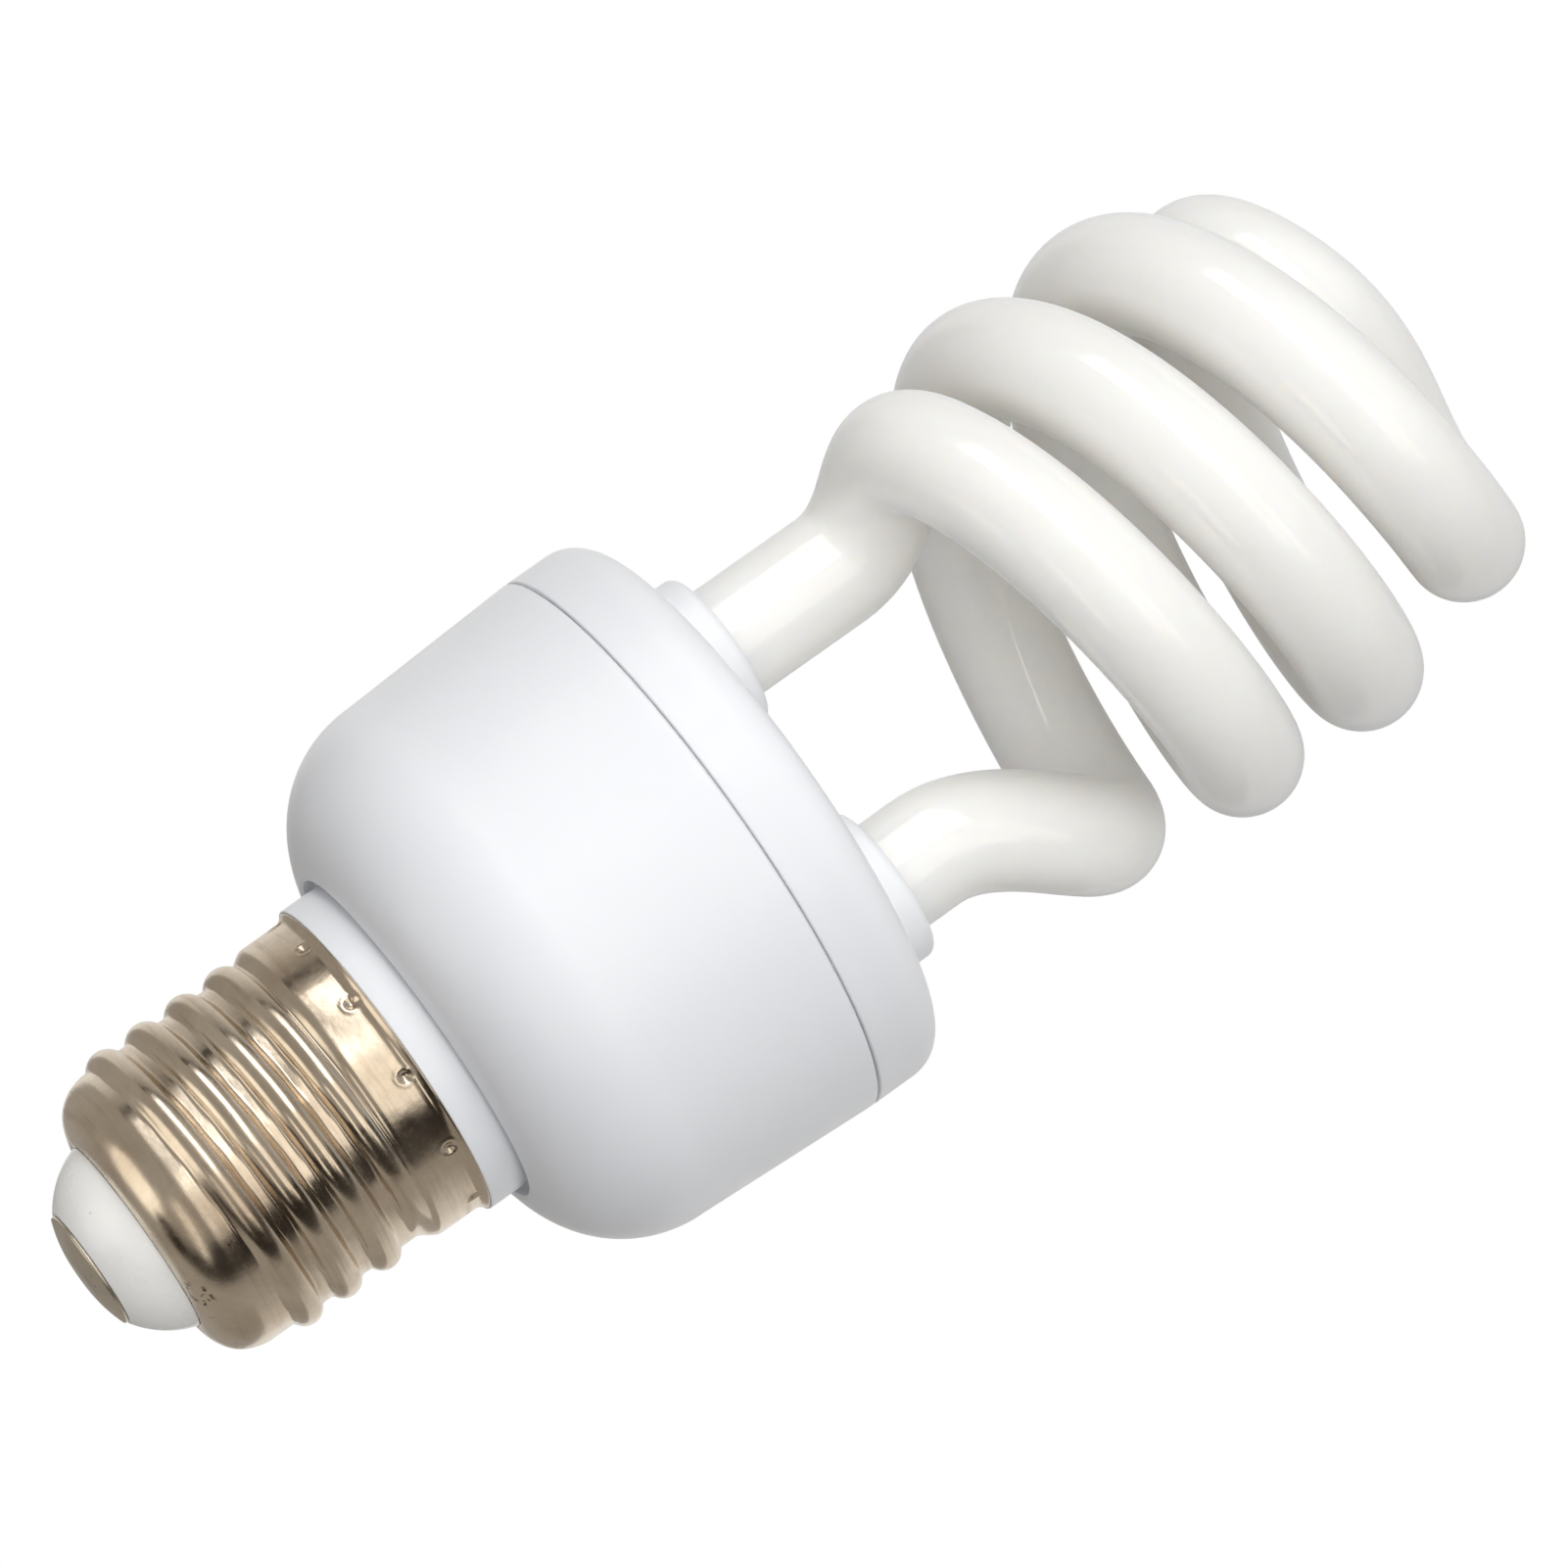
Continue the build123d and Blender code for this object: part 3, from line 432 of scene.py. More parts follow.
plate = {
    "driftNoise": (75.0, 6.0, 0.62, 0.6),
    "driftBand": (0.36, 0.64),
    "drawn": (0.35, 0.35, 6.0),
    "marksNoise": (210.0, 5.0, 0.65),
    "marksBand": (0.50, 0.72),
    "streaks": 0.4,
    "pitNoise": (900.0, 2.0),
    "pitBand": (0.72, 0.76),
    "pitAreaNoise": (55.0, 2.0),
    "pitAreaBand": (0.5, 0.62),
    "pits": 0.9,
    "smearNoise": (130.0, 7.0, 0.7),
    "smearBand": (0.35, 0.68),
    "smearRough": 0.2,
    "wornBand": (0.55, 0.75),
    "wornRough": 0.12,
    "dentNoise": (75.0, 1.5),
    "dentDepth": 0.0008,
    "peelNoise": (380.0, 2.0),
    "peelDepth": 0.00010,
    "grainNoise": (2400.0, 2.0),
    "grainBump": (0.22, 0.00002),
    "marksBump": (0.04, 0.00005),
}
shellFinish = platedMetal(
    "nickelPlate",
    {
        **plate,
        "colour": (0.82, 0.725, 0.60),
        "shade": (0.62, 0.515, 0.405),
        "brown": (0.36, 0.25, 0.165),
        "stain": (0.10, 0.055, 0.03),
        "rustNoise": (2000.0, 1.0),
        "rustBand": (0.57, 0.61),
        "rustPlace": ((0.0062, -0.0081, 0.0058), 0.001),
        "rough": 0.13,
        "peel": 0.26,
        "dents": 0.8,
    },
)
contactFinish = platedMetal(
    "brushedContact",
    {
        **plate,
        "colour": (0.74, 0.69, 0.60),
        "shade": (0.58, 0.52, 0.43),
        "brown": (0.36, 0.29, 0.21),
        "stain": (0.12, 0.07, 0.04),
        "rough": 0.22,
        "peel": 0.30,
        "dents": 0.2,
    },
)
print("materials made")


# ballast housing: bowl, seam land, groove and neck, turned as one wall
sharp = 0.0
housing = {
    "spigotFoot": 13.72,
    "spigotRadius": 11.8,
    "spigotEdge": 0.3,
    "bore": 9.8,
    "coneFoot": 22.52,
    "coneHead": 24.32,
    "coneEdge": 0.5,
    "neckInside": 12.7,
    "rim": shared["rimZ"],
    "rimRadius": 13.05,
    "rimBevel": 0.8,
    "neckRadius": 13.8,
    "neckEdge": 0.12,
    "grooveTop": 32.216,
    "grooveWidth": 0.8,
    "grooveEdge": 0.15,
    "lip": 31.016,
    "lipRise": 0.12,
    "lipEdge": 0.06,
    "bowlEdge": 0.05,
    "cornerR": 12.93,
    "cornerZ": 41.416,
    "cornerRadius": 10.6,
    "cornerGap": 2.0,
    "cornerSteps": 36,
    "sideRadius": shared["seamRadius"],
    "seam": shared["seamZ"],
    "seamGap": 0.22,
    "seamEdge": 0.12,
    "seamLand": 0.4,
    "landEdge": 0.1,
    "landPlay": 0.02,
    "wall": 1.6,
    "hollowSteps": 16,
    "floorEdge": 0.5,
    "step": 0.8,
    "around": 288,
}


def makeHousing(s):
    # outline: up the spigot and neck, round the groove and bowl, up the side, and back down inside
    lipDrop = s["cornerZ"] - s["lip"]
    lipR = s["cornerR"] + math.sqrt(s["cornerRadius"] ** 2 - lipDrop**2)
    lipAngle = -math.degrees(math.asin(lipDrop / s["cornerRadius"]))
    grooveR = s["neckRadius"] + s["grooveWidth"]
    foot = [
        (s["bore"], s["spigotFoot"], s["spigotEdge"]),
        (s["spigotRadius"], s["spigotFoot"], s["spigotEdge"]),
        (s["spigotRadius"], s["coneFoot"], s["coneEdge"]),
        (s["neckInside"], s["coneHead"], s["coneEdge"]),
        (s["neckInside"], s["rim"] - s["rimBevel"], s["spigotEdge"]),
        (s["rimRadius"], s["rim"], sharp),
        (s["neckRadius"], s["rim"], s["neckEdge"]),
        (s["neckRadius"], s["grooveTop"], s["grooveEdge"]),
        (grooveR, s["grooveTop"], s["grooveEdge"]),
        (grooveR, s["lip"] + s["lipRise"], s["lipEdge"]),
        (lipR, s["lip"], s["bowlEdge"]),
    ]
    corner = (s["cornerR"], s["cornerZ"])
    bowl = arcPoints(*corner, s["cornerRadius"], lipAngle + s["cornerGap"], 0, s["cornerSteps"])
    land = s["seam"] - s["seamGap"]
    landR = s["sideRadius"] - s["seamLand"]
    top = [
        (s["sideRadius"], land, s["seamEdge"]),
        (landR, land, s["landEdge"]),
        (landR, s["seam"] - s["landPlay"], s["landEdge"]),
        (s["sideRadius"] - s["wall"], s["seam"] - s["landPlay"], s["landEdge"]),
    ]
    inner = s["cornerRadius"] - s["wall"]
    floorZ = s["grooveTop"] + s["wall"]
    floorAngle = -math.degrees(math.asin((s["cornerZ"] - floorZ) / inner))
    hollow = arcPoints(*corner, inner, 0, floorAngle, s["hollowSteps"])
    corners = foot + [(*p, sharp) for p in bowl] + top + [(*p, sharp) for p in hollow]
    corners.append((s["bore"], floorZ, s["floorEdge"]))
    return turned("housingBody", roundedLoop(corners, s["step"]), s["around"])


housingBody = makeHousing(housing)
housingBody.data.materials.append(housingFinish)
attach(housingBody, "root")
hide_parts("ballast_housing")
print("housing made")


# cap: rounded plate over the housing, with a collar round each leg
cap = {
    "seam": shared["seamZ"],
    "seamEdge": 0.15,
    "top": shared["capTop"],
    "radius": shared["seamRadius"],
    "edge": 3.0,
    "plate": 2.0,
    "plateEdge": 0.8,
    "wall": 1.9,
    "wallRise": 1.5,
    "skirtRise": 0.7,
    "skirtLength": 3.5,
    "skirtOuter": 22.455,
    "skirtWall": 1.4,
    "skirtEdge": 0.2,
    "skirtRoot": 0.05,
    "step": 0.8,
    "arcSteps": 14,
    "around": 288,
    "legX": shared["legX"],
    "holeRadius": 4.9,
    "holeReach": 6.0,
    "holeAround": 96,
    "sharpAngle": 40.0,
}
ring = {
    "foot": shared["capTop"],
    "sink": 0.3,
    "flare": 0.45,
    "flareRise": 0.02,
    "flareTop": 0.4,
    "ease": 0.25,
    "legX": shared["legX"],
    "holeRadius": 4.9,
    "radius": 6.6,
    "top": 68.016,
    "edge": 1.0,
    "step": 0.6,
    "arcSteps": 10,
    "around": 128,
}


def makeCap(s):
    # outline: below the plate from the axis, down inside the skirt, seam step, side, edge and flat top
    underside, skirtFoot = s["top"] - s["plate"], s["seam"] - s["skirtLength"]
    wallR, skirtR = s["radius"] - s["wall"], s["skirtOuter"] - s["skirtWall"]
    corners = [
        (0.0, underside, sharp),
        (wallR, underside, s["plateEdge"]),
        (wallR, s["seam"] + s["wallRise"], s["skirtEdge"]),
        (skirtR, s["seam"] + s["skirtRise"], s["skirtEdge"]),
        (skirtR, skirtFoot, s["skirtEdge"]),
        (s["skirtOuter"], skirtFoot, s["skirtEdge"]),
        (s["skirtOuter"], s["seam"], s["skirtRoot"]),
        (s["radius"], s["seam"], s["seamEdge"]),
        (s["radius"], s["top"], s["edge"]),
        (0.0, s["top"], sharp),
    ]
    outline = roundedLoop(corners, s["step"], s["arcSteps"], closed=False)
    plate = turned("capPlate", outline, s["around"])
    low, high = s["top"] - s["holeReach"], s["top"] + s["holeReach"]
    half = np.array([(0.0, low), (s["holeRadius"], low), (s["holeRadius"], high), (0.0, high)])
    bars = []
    for side in (-1, 1):
        bars.append(turned("legHole", half, s["holeAround"], (side * s["legX"], 0.0)))
        cut = plate.modifiers.new("legHole", "BOOLEAN")
        cut.operation = "DIFFERENCE"
        cut.object = bars[-1]
        cut.solver = "EXACT"
    bpy.context.view_layer.update()
    evaluated = plate.evaluated_get(bpy.context.evaluated_depsgraph_get())
    shape = bpy.data.meshes.new_from_object(evaluated)
    plate.modifiers.clear()
    plate.data = shape
    for bar in bars:
        bpy.data.objects.remove(bar)
    shape.set_sharp_from_angle(angle=math.radians(s["sharpAngle"]))
    return plate


def makeCollar(s, side, index):
    # ring outline: small foot flare, straight side, rounded rim, and a bore that clears the leg
    corners = [
        (s["holeRadius"], s["foot"] - s["sink"], sharp),
        (s["radius"] + s["flare"], s["foot"] - s["sink"], sharp),
        (s["radius"] + s["flare"], s["foot"] + s["flareRise"], sharp),
        (s["radius"], s["foot"] + s["flareTop"], s["ease"]),
        (s["radius"], s["top"], s["edge"]),
        (s["holeRadius"], s["top"], s["ease"]),
    ]
    outline = roundedLoop(corners, s["step"], s["arcSteps"])
    return turned(f"legCollar{index}", outline, s["around"], (side * s["legX"], 0.0))


capPlate = makeCap(cap)
capPlate.data.materials.clear()
capPlate.data.materials.append(housingFinish)
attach(capPlate, "root")
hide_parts("tube_cap")
for index, side in enumerate((-1, 1)):
    collar = makeCollar(ring, side, index + 1)
    collar.data.materials.append(housingFinish)
    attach(collar, "root")
print("cap and collars made")


# discharge tube: legs, double helix and bridge as one round wall; turns are in degrees, and the
# bridge's places are counted from the foot of the helix
tube = {
    "radius": 4.75,
    "legX": shared["legX"],
    "legFoot": 57.6,
    "legTops": (78.4, 71.7),
    "legSteps": 30,
    "legPulls": (21.0, 22.9),
    "helixPulls": (27.4, 30.4),
    "bendTurns": (41.3, 31.9),
    "bendSteps": 60,
    "helixRadius": 18.4,
    "pitch": 23.6,
    "offset": 0.85,
    "firstHeight": 84.92,
    "lastTurn": 466.0,
    "coilSteps": 400,
    "bridge": (
        (13.5, 0.6, 36.5),
        (8.2, 4.2, 37.6),
        (0.2, -0.1, 37.6),
        (-8.8, -4.9, 35.1),
        (-14.7, -0.4, 33.2),
    ),
    "bridgeSteps": 40,
    "slackTurn": 150.0,
    "slackSpan": 22.0,
    "slack": 0.5,
    "around": 72,
    "step": 0.5,
}


def helixAt(s, turn, side):
    # circle about the offset axis that climbs one pitch a turn; side -1 is the strand opposite, which
    # lies a little slack behind the first elbow
    a = np.radians(turn)
    dip = s["slack"] * np.exp(-(((turn - s["slackTurn"]) / s["slackSpan"]) ** 2)) if side < 0 else 0.0
    r = s["helixRadius"] - dip
    x, y = s["offset"] - side * r * np.cos(a), -side * r * np.sin(a)
    return np.stack([x, y, s["firstHeight"] + s["pitch"] * np.asarray(turn) / 360], -1)


def helixWay(s, turn, side):
    # direction of the helix, taken across one degree to each side
    return unit(helixAt(s, turn + 1, side) - helixAt(s, turn - 1, side))


def hermite(p0, p1, d0, d1, count):
    # cubic blend between two places with the given pulls at its ends
    t = np.linspace(0, 1, count)[:, None]
    return (
        (2 * t**3 - 3 * t**2 + 1) * p0
        + (t**3 - 2 * t**2 + t) * d0
        + (3 * t**2 - 2 * t**3) * p1
        + (t**3 - t**2) * d1
    )


def smoothThrough(points, first, last, count):
    # cubic spline by chord length through the points, with unit directions held at both ends
    h = np.linalg.norm(np.diff(points, axis=0), axis=1)
    n = len(points)
    m = np.zeros((n, n))
    rhs = np.zeros((n, 3))
    m[0, 0] = m[-1, -1] = 1
    rhs[0], rhs[-1] = first, last
    i = np.arange(1, n - 1)
    m[i, i - 1] = h[1:]
    m[i, i] = 2 * (h[:-1] + h[1:])
    m[i, i + 1] = h[:-1]
    slope = np.diff(points, axis=0) / h[:, None]
    rhs[1:-1] = 3 * (h[1:, None] * slope[:-1] + h[:-1, None] * slope[1:])
    d = np.linalg.solve(m, rhs)
    spans = []
    for k in range(n - 1):
        span = hermite(points[k], points[k + 1], d[k] * h[k], d[k + 1] * h[k], count)
        spans.append(span[:-1])
    return np.concatenate(spans + [points[-1:]])


def unit(v):
    return v / np.linalg.norm(v, axis=-1, keepdims=True)


def tubePath(s):
    # up one leg and round its strand, over the bridge, and back down the other strand and leg
    up = np.array([0.0, 0.0, 1.0])
    halves = []
    ends = []
    for k, side in enumerate((1, -1)):
        foot = np.array([-side * s["legX"], 0.0, s["legFoot"]])
        knee = np.array([-side * s["legX"], 0.0, s["legTops"][k]])
        leg = foot + (knee - foot) * np.linspace(0, 1, s["legSteps"])[:, None]
        turn = s["bendTurns"][k]
        pullIn, pullOut = up * s["legPulls"][k], helixWay(s, turn, side) * s["helixPulls"][k]
        bend = hermite(knee, helixAt(s, turn, side), pullIn, pullOut, s["bendSteps"])
        coil = helixAt(s, np.linspace(turn, s["lastTurn"], s["coilSteps"]), side)
        halves.append(np.concatenate([leg, bend[1:], coil[1:]]))
        ends.append(helixWay(s, s["lastTurn"], side))
    origin = np.array([s["offset"], 0.0, s["firstHeight"]])
    middle = [halves[0][-1]] + [origin + np.array(p) for p in s["bridge"]] + [halves[1][-1]]
    over = smoothThrough(np.array(middle), ends[0], -ends[1], s["bridgeSteps"])
    path = np.concatenate([halves[0], over[1:-1], halves[1][::-1]])
    length = np.linalg.norm(np.diff(path, axis=0), axis=1).sum()
    return alongLine(path, int(length / s["step"]))


def sweptTube(name, path, radius, around):
    # a circle carried along the path; each ring's frame is turned as little as possible from the last
    way = unit(np.gradient(path, axis=0))
    side = np.zeros_like(path)
    side[0] = (1.0, 0.0, 0.0)
    for k in range(1, len(path)):
        v = side[k - 1] - way[k] * (side[k - 1] @ way[k])
        side[k] = v / np.linalg.norm(v)
    cross = np.cross(way, side)
    a = np.linspace(0, 2 * np.pi, around, endpoint=False)
    ring = np.cos(a)[None, :, None] * side[:, None] + np.sin(a)[None, :, None] * cross[:, None]
    return gridObject(name, path[:, None] + ring * radius, capEnds=True)


glassTube = sweptTube("glassTube", tubePath(tube), tube["radius"], tube["around"])
glassTube.data.materials.append(tubeFinish)
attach(glassTube, "root")
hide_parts("discharge_tube")
print("tube made")


# screw shell: one rolled wall with the thread on both faces, a lip and punched crimps
shell = {
    "bottom": shared["mouthZ"],
    "mouth": shared["mouthRadius"],
    "lip": 0.5,
    "lipFlat": 0.6,
    "shoulderTop": 8.75,
    "bulge": 0.95,
    "root": 12.25,
    "ribCentre": 11.72,
    "ribRadius": 1.4,
    "ribJoin": 0.16,
    "ribFade": 0.035,
    "pitch": 3.629,
    "turns": 4,
    "below": 2.0,
    "above": 1.5,
    "skirt": 13.15,
    "skirtFoot": 22.366,
    "skirtHead": 24.166,
    "flareFoot": 27.416,
    "flareEase": 0.1,
    "flarePower": 1.6,
    "rim": shared["rimZ"],
    "flare": 0.5,
    "wall": 0.3,
    "crimps": 12,
    "crimpTurn": -82.0,
    "crimpZ": 27.05,
    "crimpRadius": 0.42,
    "crimpDepth": 0.3,
    "burr": 0.05,
    "burrPlace": 1.5,
    "burrWidth": 0.35,
    "shoulderSteps": 40,
    "coreSteps": 30,
    "swellSteps": 24,
    "flareSteps": 8,
    "steps": 132,
    "innerEvery": 3,
    "around": 480,
}


def shellOutline(s):
    # half section without the thread: lip, shoulder arc, straight core, swell to the skirt, flared rim
    lip = np.array([[s["mouth"], s["bottom"]], [s["mouth"] + s["lip"] * s["lipFlat"], s["bottom"]]])
    mouth = np.array([s["mouth"] + s["lip"], s["bottom"]])
    top = np.array([s["root"], s["shoulderTop"]])
    t = np.linspace(0, 1, s["shoulderSteps"])[:, None]
    shoulder = bulged(mouth, top, s["bulge"], t)
    coreZ = np.linspace(s["shoulderTop"], s["skirtFoot"], s["coreSteps"])
    core = np.stack([np.full(s["coreSteps"], s["root"]), coreZ], -1)[1:]
    k = np.linspace(0, 1, s["swellSteps"])
    swellR = s["root"] + (s["skirt"] - s["root"]) * (3 * k**2 - 2 * k**3)
    swell = np.stack([swellR, s["skirtFoot"] + (s["skirtHead"] - s["skirtFoot"]) * k], -1)[1:]
    skirt = np.array([[s["skirt"], s["flareFoot"] - s["flareEase"]]])
    k = np.linspace(0, 1, s["flareSteps"])
    flareR = s["skirt"] + s["flare"] * k ** s["flarePower"]
    flare = np.stack([flareR, s["flareFoot"] + (s["rim"] - s["flareFoot"]) * k], -1)
    return alongLine(np.concatenate([lip, shoulder, core, swell, skirt, flare]), s["steps"])


def threadedRadius(s, r, z, angle):
    # the rib is a circle carried round the helix: where it stands out of the core it wins, with a soft
    # join, and at both ends of the thread it fades into the core
    turn = angle / (2 * np.pi)
    climb = (z - s["shoulderTop"]) / s["pitch"] - turn
    nearest = np.clip(np.round(climb), 0, s["turns"] - 1)
    off = (climb - nearest) * s["pitch"]
    along = (nearest + turn) / s["turns"]
    fade = np.clip(along / s["ribFade"], 0, 1) * np.clip((1 - along) / s["ribFade"], 0, 1)
    fade = fade * fade * (3 - 2 * fade)
    rib = s["ribCentre"] + np.sqrt(np.maximum(s["ribRadius"] ** 2 - off**2, 0.0))
    rib = np.where(np.abs(off) < s["ribRadius"], rib, 0.0)
    blend = np.clip(0.5 + 0.5 * (rib - r) / s["ribJoin"], 0, 1)
    raised = r * (1 - blend) + rib * blend + s["ribJoin"] * blend * (1 - blend) * 0.5
    return r + (raised - r) * fade


def crimpedRadius(s, r, z, angle):
    # punched round dents in a row under the rim, each with a low burr round it
    step = 2 * np.pi / s["crimps"]
    away = (angle - math.radians(s["crimpTurn"]) + step / 2) % step - step / 2
    reach = np.hypot(away * s["skirt"], z - s["crimpZ"]) / s["crimpRadius"]
    dent = s["crimpDepth"] * np.exp(-(reach**3))
    burr = s["burr"] * np.exp(-(((reach - s["burrPlace"]) / s["burrWidth"]) ** 2))
    return r - dent + burr


def makeShell(s):
    # grid over the angle and the outline: outside wall up, inside wall back down a wall's width within
    outer = shellOutline(s)
    way = unit(np.gradient(outer, axis=0))
    inward = np.stack([-way[:, 1], way[:, 0]], -1)
    inner = (outer + inward * s["wall"])[::-1][:: s["innerEvery"]]
    inner = inner[(inner[:, 0] > s["mouth"]) & (inner[:, 1] < s["rim"])]
    rim = [[s["skirt"] + s["flare"] - s["wall"], s["rim"]]]
    inner = np.concatenate([rim, inner, [[s["mouth"], s["bottom"] + s["wall"]]]])
    angle = np.linspace(0, 2 * np.pi, s["around"], endpoint=False)[None, :]
    grids = []
    for line, inset in ((outer, 0.0), (inner, s["wall"])):
        r, z = line[:, 0][:, None] + 0 * angle, line[:, 1][:, None] + 0 * angle
        on = (z > s["shoulderTop"] - s["below"]) & (z < s["skirtHead"] + s["above"])
        r = np.where(on, threadedRadius(s, r + inset, z, angle) - inset, r)
        r = crimpedRadius(s, r, z, angle)
        grids.append(np.stack([r * np.cos(angle), r * np.sin(angle), z], -1))
    return gridObject("screwShell", np.concatenate(grids), closedU=True)


screwShell = makeShell(shell)
screwShell.data.materials.append(shellFinish)
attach(screwShell, "root")
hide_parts("screw_shell")
print("screw shell made")


# insulator cone in the mouth of the shell, and the centre contact in its tip
contact = {
    "radius": 4.85,
    "height": 1.0,
    "flat": 2.0,
    "flatEdge": 0.3,
    "dome": 0.1,
    "domeSteps": 12,
    "edge": 0.3,
    "rollEdge": 0.15,
    "backEdge": 0.08,
    "backGap": 0.01,
    "shank": 1.1,
    "shankTop": 7.5,
    "shankEdge": 0.1,
    "step": 0.3,
    "around": 160,
}
insulator = {
    "tip": 5.1,
    "tipZ": contact["height"],
    "tipEdge": 0.15,
    "mouth": shared["mouthRadius"],
    "mouthZ": shared["mouthZ"],
    "bulge": 0.45,
    "bulgeSteps": 24,
    "heelPlay": 0.02,
    "heelEdge": 0.05,
    "neckPlay": 0.1,
    "neckHeight": 0.32,
    "seatWidth": 0.35,
    "flange": 10.1,
    "flangeRise": 2.25,
    "flangeEdge": 0.2,
    "topZ": 8.55,
    "wall": 2.0,
    "pocketEdge": 0.3,
    "bore": 1.3,
    "boreWall": 1.0,
    "boreTop": 6.5,
    "edge": 0.1,
    "step": 0.4,
    "around": 224,
}


def makeInsulator(s):
    # outline: bulged cone, neck through the shell's mouth, flange inside, and the pocket back to the bore
    t = np.linspace(0, 1, s["bulgeSteps"])[1:-1, None]
    tip, heel = np.array([s["tip"], s["tipZ"]]), np.array([s["mouth"], s["mouthZ"]])
    neck, neckTop = s["mouth"] - s["neckPlay"], s["mouthZ"] + s["neckHeight"]
    boreR, floorZ = s["bore"] + s["boreWall"], s["tipZ"] + s["wall"]
    corners = [(s["bore"], s["tipZ"], sharp), (s["tip"], s["tipZ"], s["tipEdge"])]
    corners += [(*p, sharp) for p in bulged(tip, heel, s["bulge"], t)]
    corners += [
        (s["mouth"] - s["heelPlay"], s["mouthZ"] - s["heelPlay"], s["heelEdge"]),
        (neck, s["mouthZ"], sharp),
        (neck, neckTop, sharp),
        (s["mouth"] + s["seatWidth"], neckTop, s["edge"]),
        (s["flange"], s["mouthZ"] + s["flangeRise"], s["flangeEdge"]),
        (s["flange"], s["topZ"], s["flangeEdge"]),
        (s["flange"] - s["wall"], s["topZ"], s["flangeEdge"]),
        (s["tip"], floorZ, s["pocketEdge"]),
        (boreR, floorZ, s["edge"]),
        (boreR, s["boreTop"], s["edge"]),
        (s["bore"], s["boreTop"], s["edge"]),
    ]
    return turned("insulatorCone", roundedLoop(corners, s["step"]), s["around"])


def makeContact(s):
    # outline: flat centre, shallow dome, rolled edge, back face and shank
    t = np.linspace(0, 1, s["domeSteps"])[1:-1, None]
    rollZ, backZ = s["height"] - s["edge"], s["height"] - s["backGap"]
    flat, roll = np.array([s["flat"], 0.0]), np.array([s["radius"], rollZ])
    dome = flat + (roll - flat) * t + np.array([0.0, -s["dome"]]) * 4 * t * (1 - t)
    corners = [(0.0, 0.0, sharp), (s["flat"], 0.0, s["flatEdge"])]
    corners += [(*p, sharp) for p in dome]
    corners += [
        (s["radius"], rollZ, s["rollEdge"]),
        (s["radius"], backZ, s["backEdge"]),
        (s["shank"], backZ, sharp),
        (s["shank"], s["shankTop"], s["shankEdge"]),
        (0.0, s["shankTop"], sharp),
    ]
    return turned("contactCap", roundedLoop(corners, s["step"], closed=False), s["around"])


insulatorCone = makeInsulator(insulator)
insulatorCone.data.materials.append(insulatorFinish)
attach(insulatorCone, "root")
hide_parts("base_insulator")
contactCap = makeContact(contact)
contactCap.data.materials.append(contactFinish)
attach(contactCap, "root")
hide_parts("centre_contact")
print("insulator and contact made")


# finishes of the pieces inside, which keep their own shapes
insideBase = {
    "grain": 700.0,
    "detail": 4.0,
    "darker": 0.78,
    "toneBand": (0.35, 0.65),
    "roughBand": (0.3, 0.7),
    "roughChange": 0.08,
    "bump": 0.15,
    "depth": 0.0001,
    "metal": 0.0,
}
insideFinishes = {
    "cement": {"colour": (0.70, 0.66, 0.57), "rough": 0.85, "grain": 900.0, "bump": 0.4},
    "board": {"colour": (0.58, 0.42, 0.20), "rough": 0.55, "grain": 400.0},
    "ferrite": {"colour": (0.06, 0.06, 0.065), "rough": 0.6, "grain": 1400.0, "bump": 0.3},
    "bobbin": {"colour": (0.78, 0.76, 0.70), "rough": 0.5},
    "copper": {"colour": (0.62, 0.27, 0.10), "rough": 0.35, "metal": 0.9},
    "winding_wire": {"colour": (0.55, 0.06, 0.05), "rough": 0.35},
    "capacitor_sleeve": {"colour": (0.03, 0.035, 0.06), "rough": 0.3},
    "black_moulding": {"colour": (0.03, 0.03, 0.03), "rough": 0.5},
    "film_capacitor": {"colour": (0.36, 0.07, 0.03), "rough": 0.3},
    "thermistor": {"colour": (0.08, 0.20, 0.11), "rough": 0.6},
    "resistor": {"colour": (0.62, 0.46, 0.26), "rough": 0.4},
    "trigger_diode": {"colour": (0.04, 0.10, 0.32), "rough": 0.3},
    "fuse_resistor": {"colour": (0.30, 0.38, 0.34), "rough": 0.6},
    "tinned_pin": {"colour": (0.68, 0.68, 0.66), "rough": 0.3, "metal": 1.0},
    "live_sleeve": {"colour": (0.70, 0.69, 0.64), "rough": 0.45},
    "neutral_sleeve": {"colour": (0.05, 0.13, 0.42), "rough": 0.45},
}
finishes = {
    "housing": housingFinish,
    "insulator": insulatorFinish,
    "tube_glass": tubeFinish,
    "nickel": shellFinish,
}
for slotName, settings in insideFinishes.items():
    finishes[slotName] = plainFinish(slotName, {**insideBase, **settings})
slotOf = {row["node"]: row["material_slot"] for row in frame["record"]["subparts"]}
for nodeName, obj in frame["nodes"].items():
    obj.data.materials.clear()
    obj.data.materials.append(finishes[slotOf[nodeName]])
print("inside finishes set")


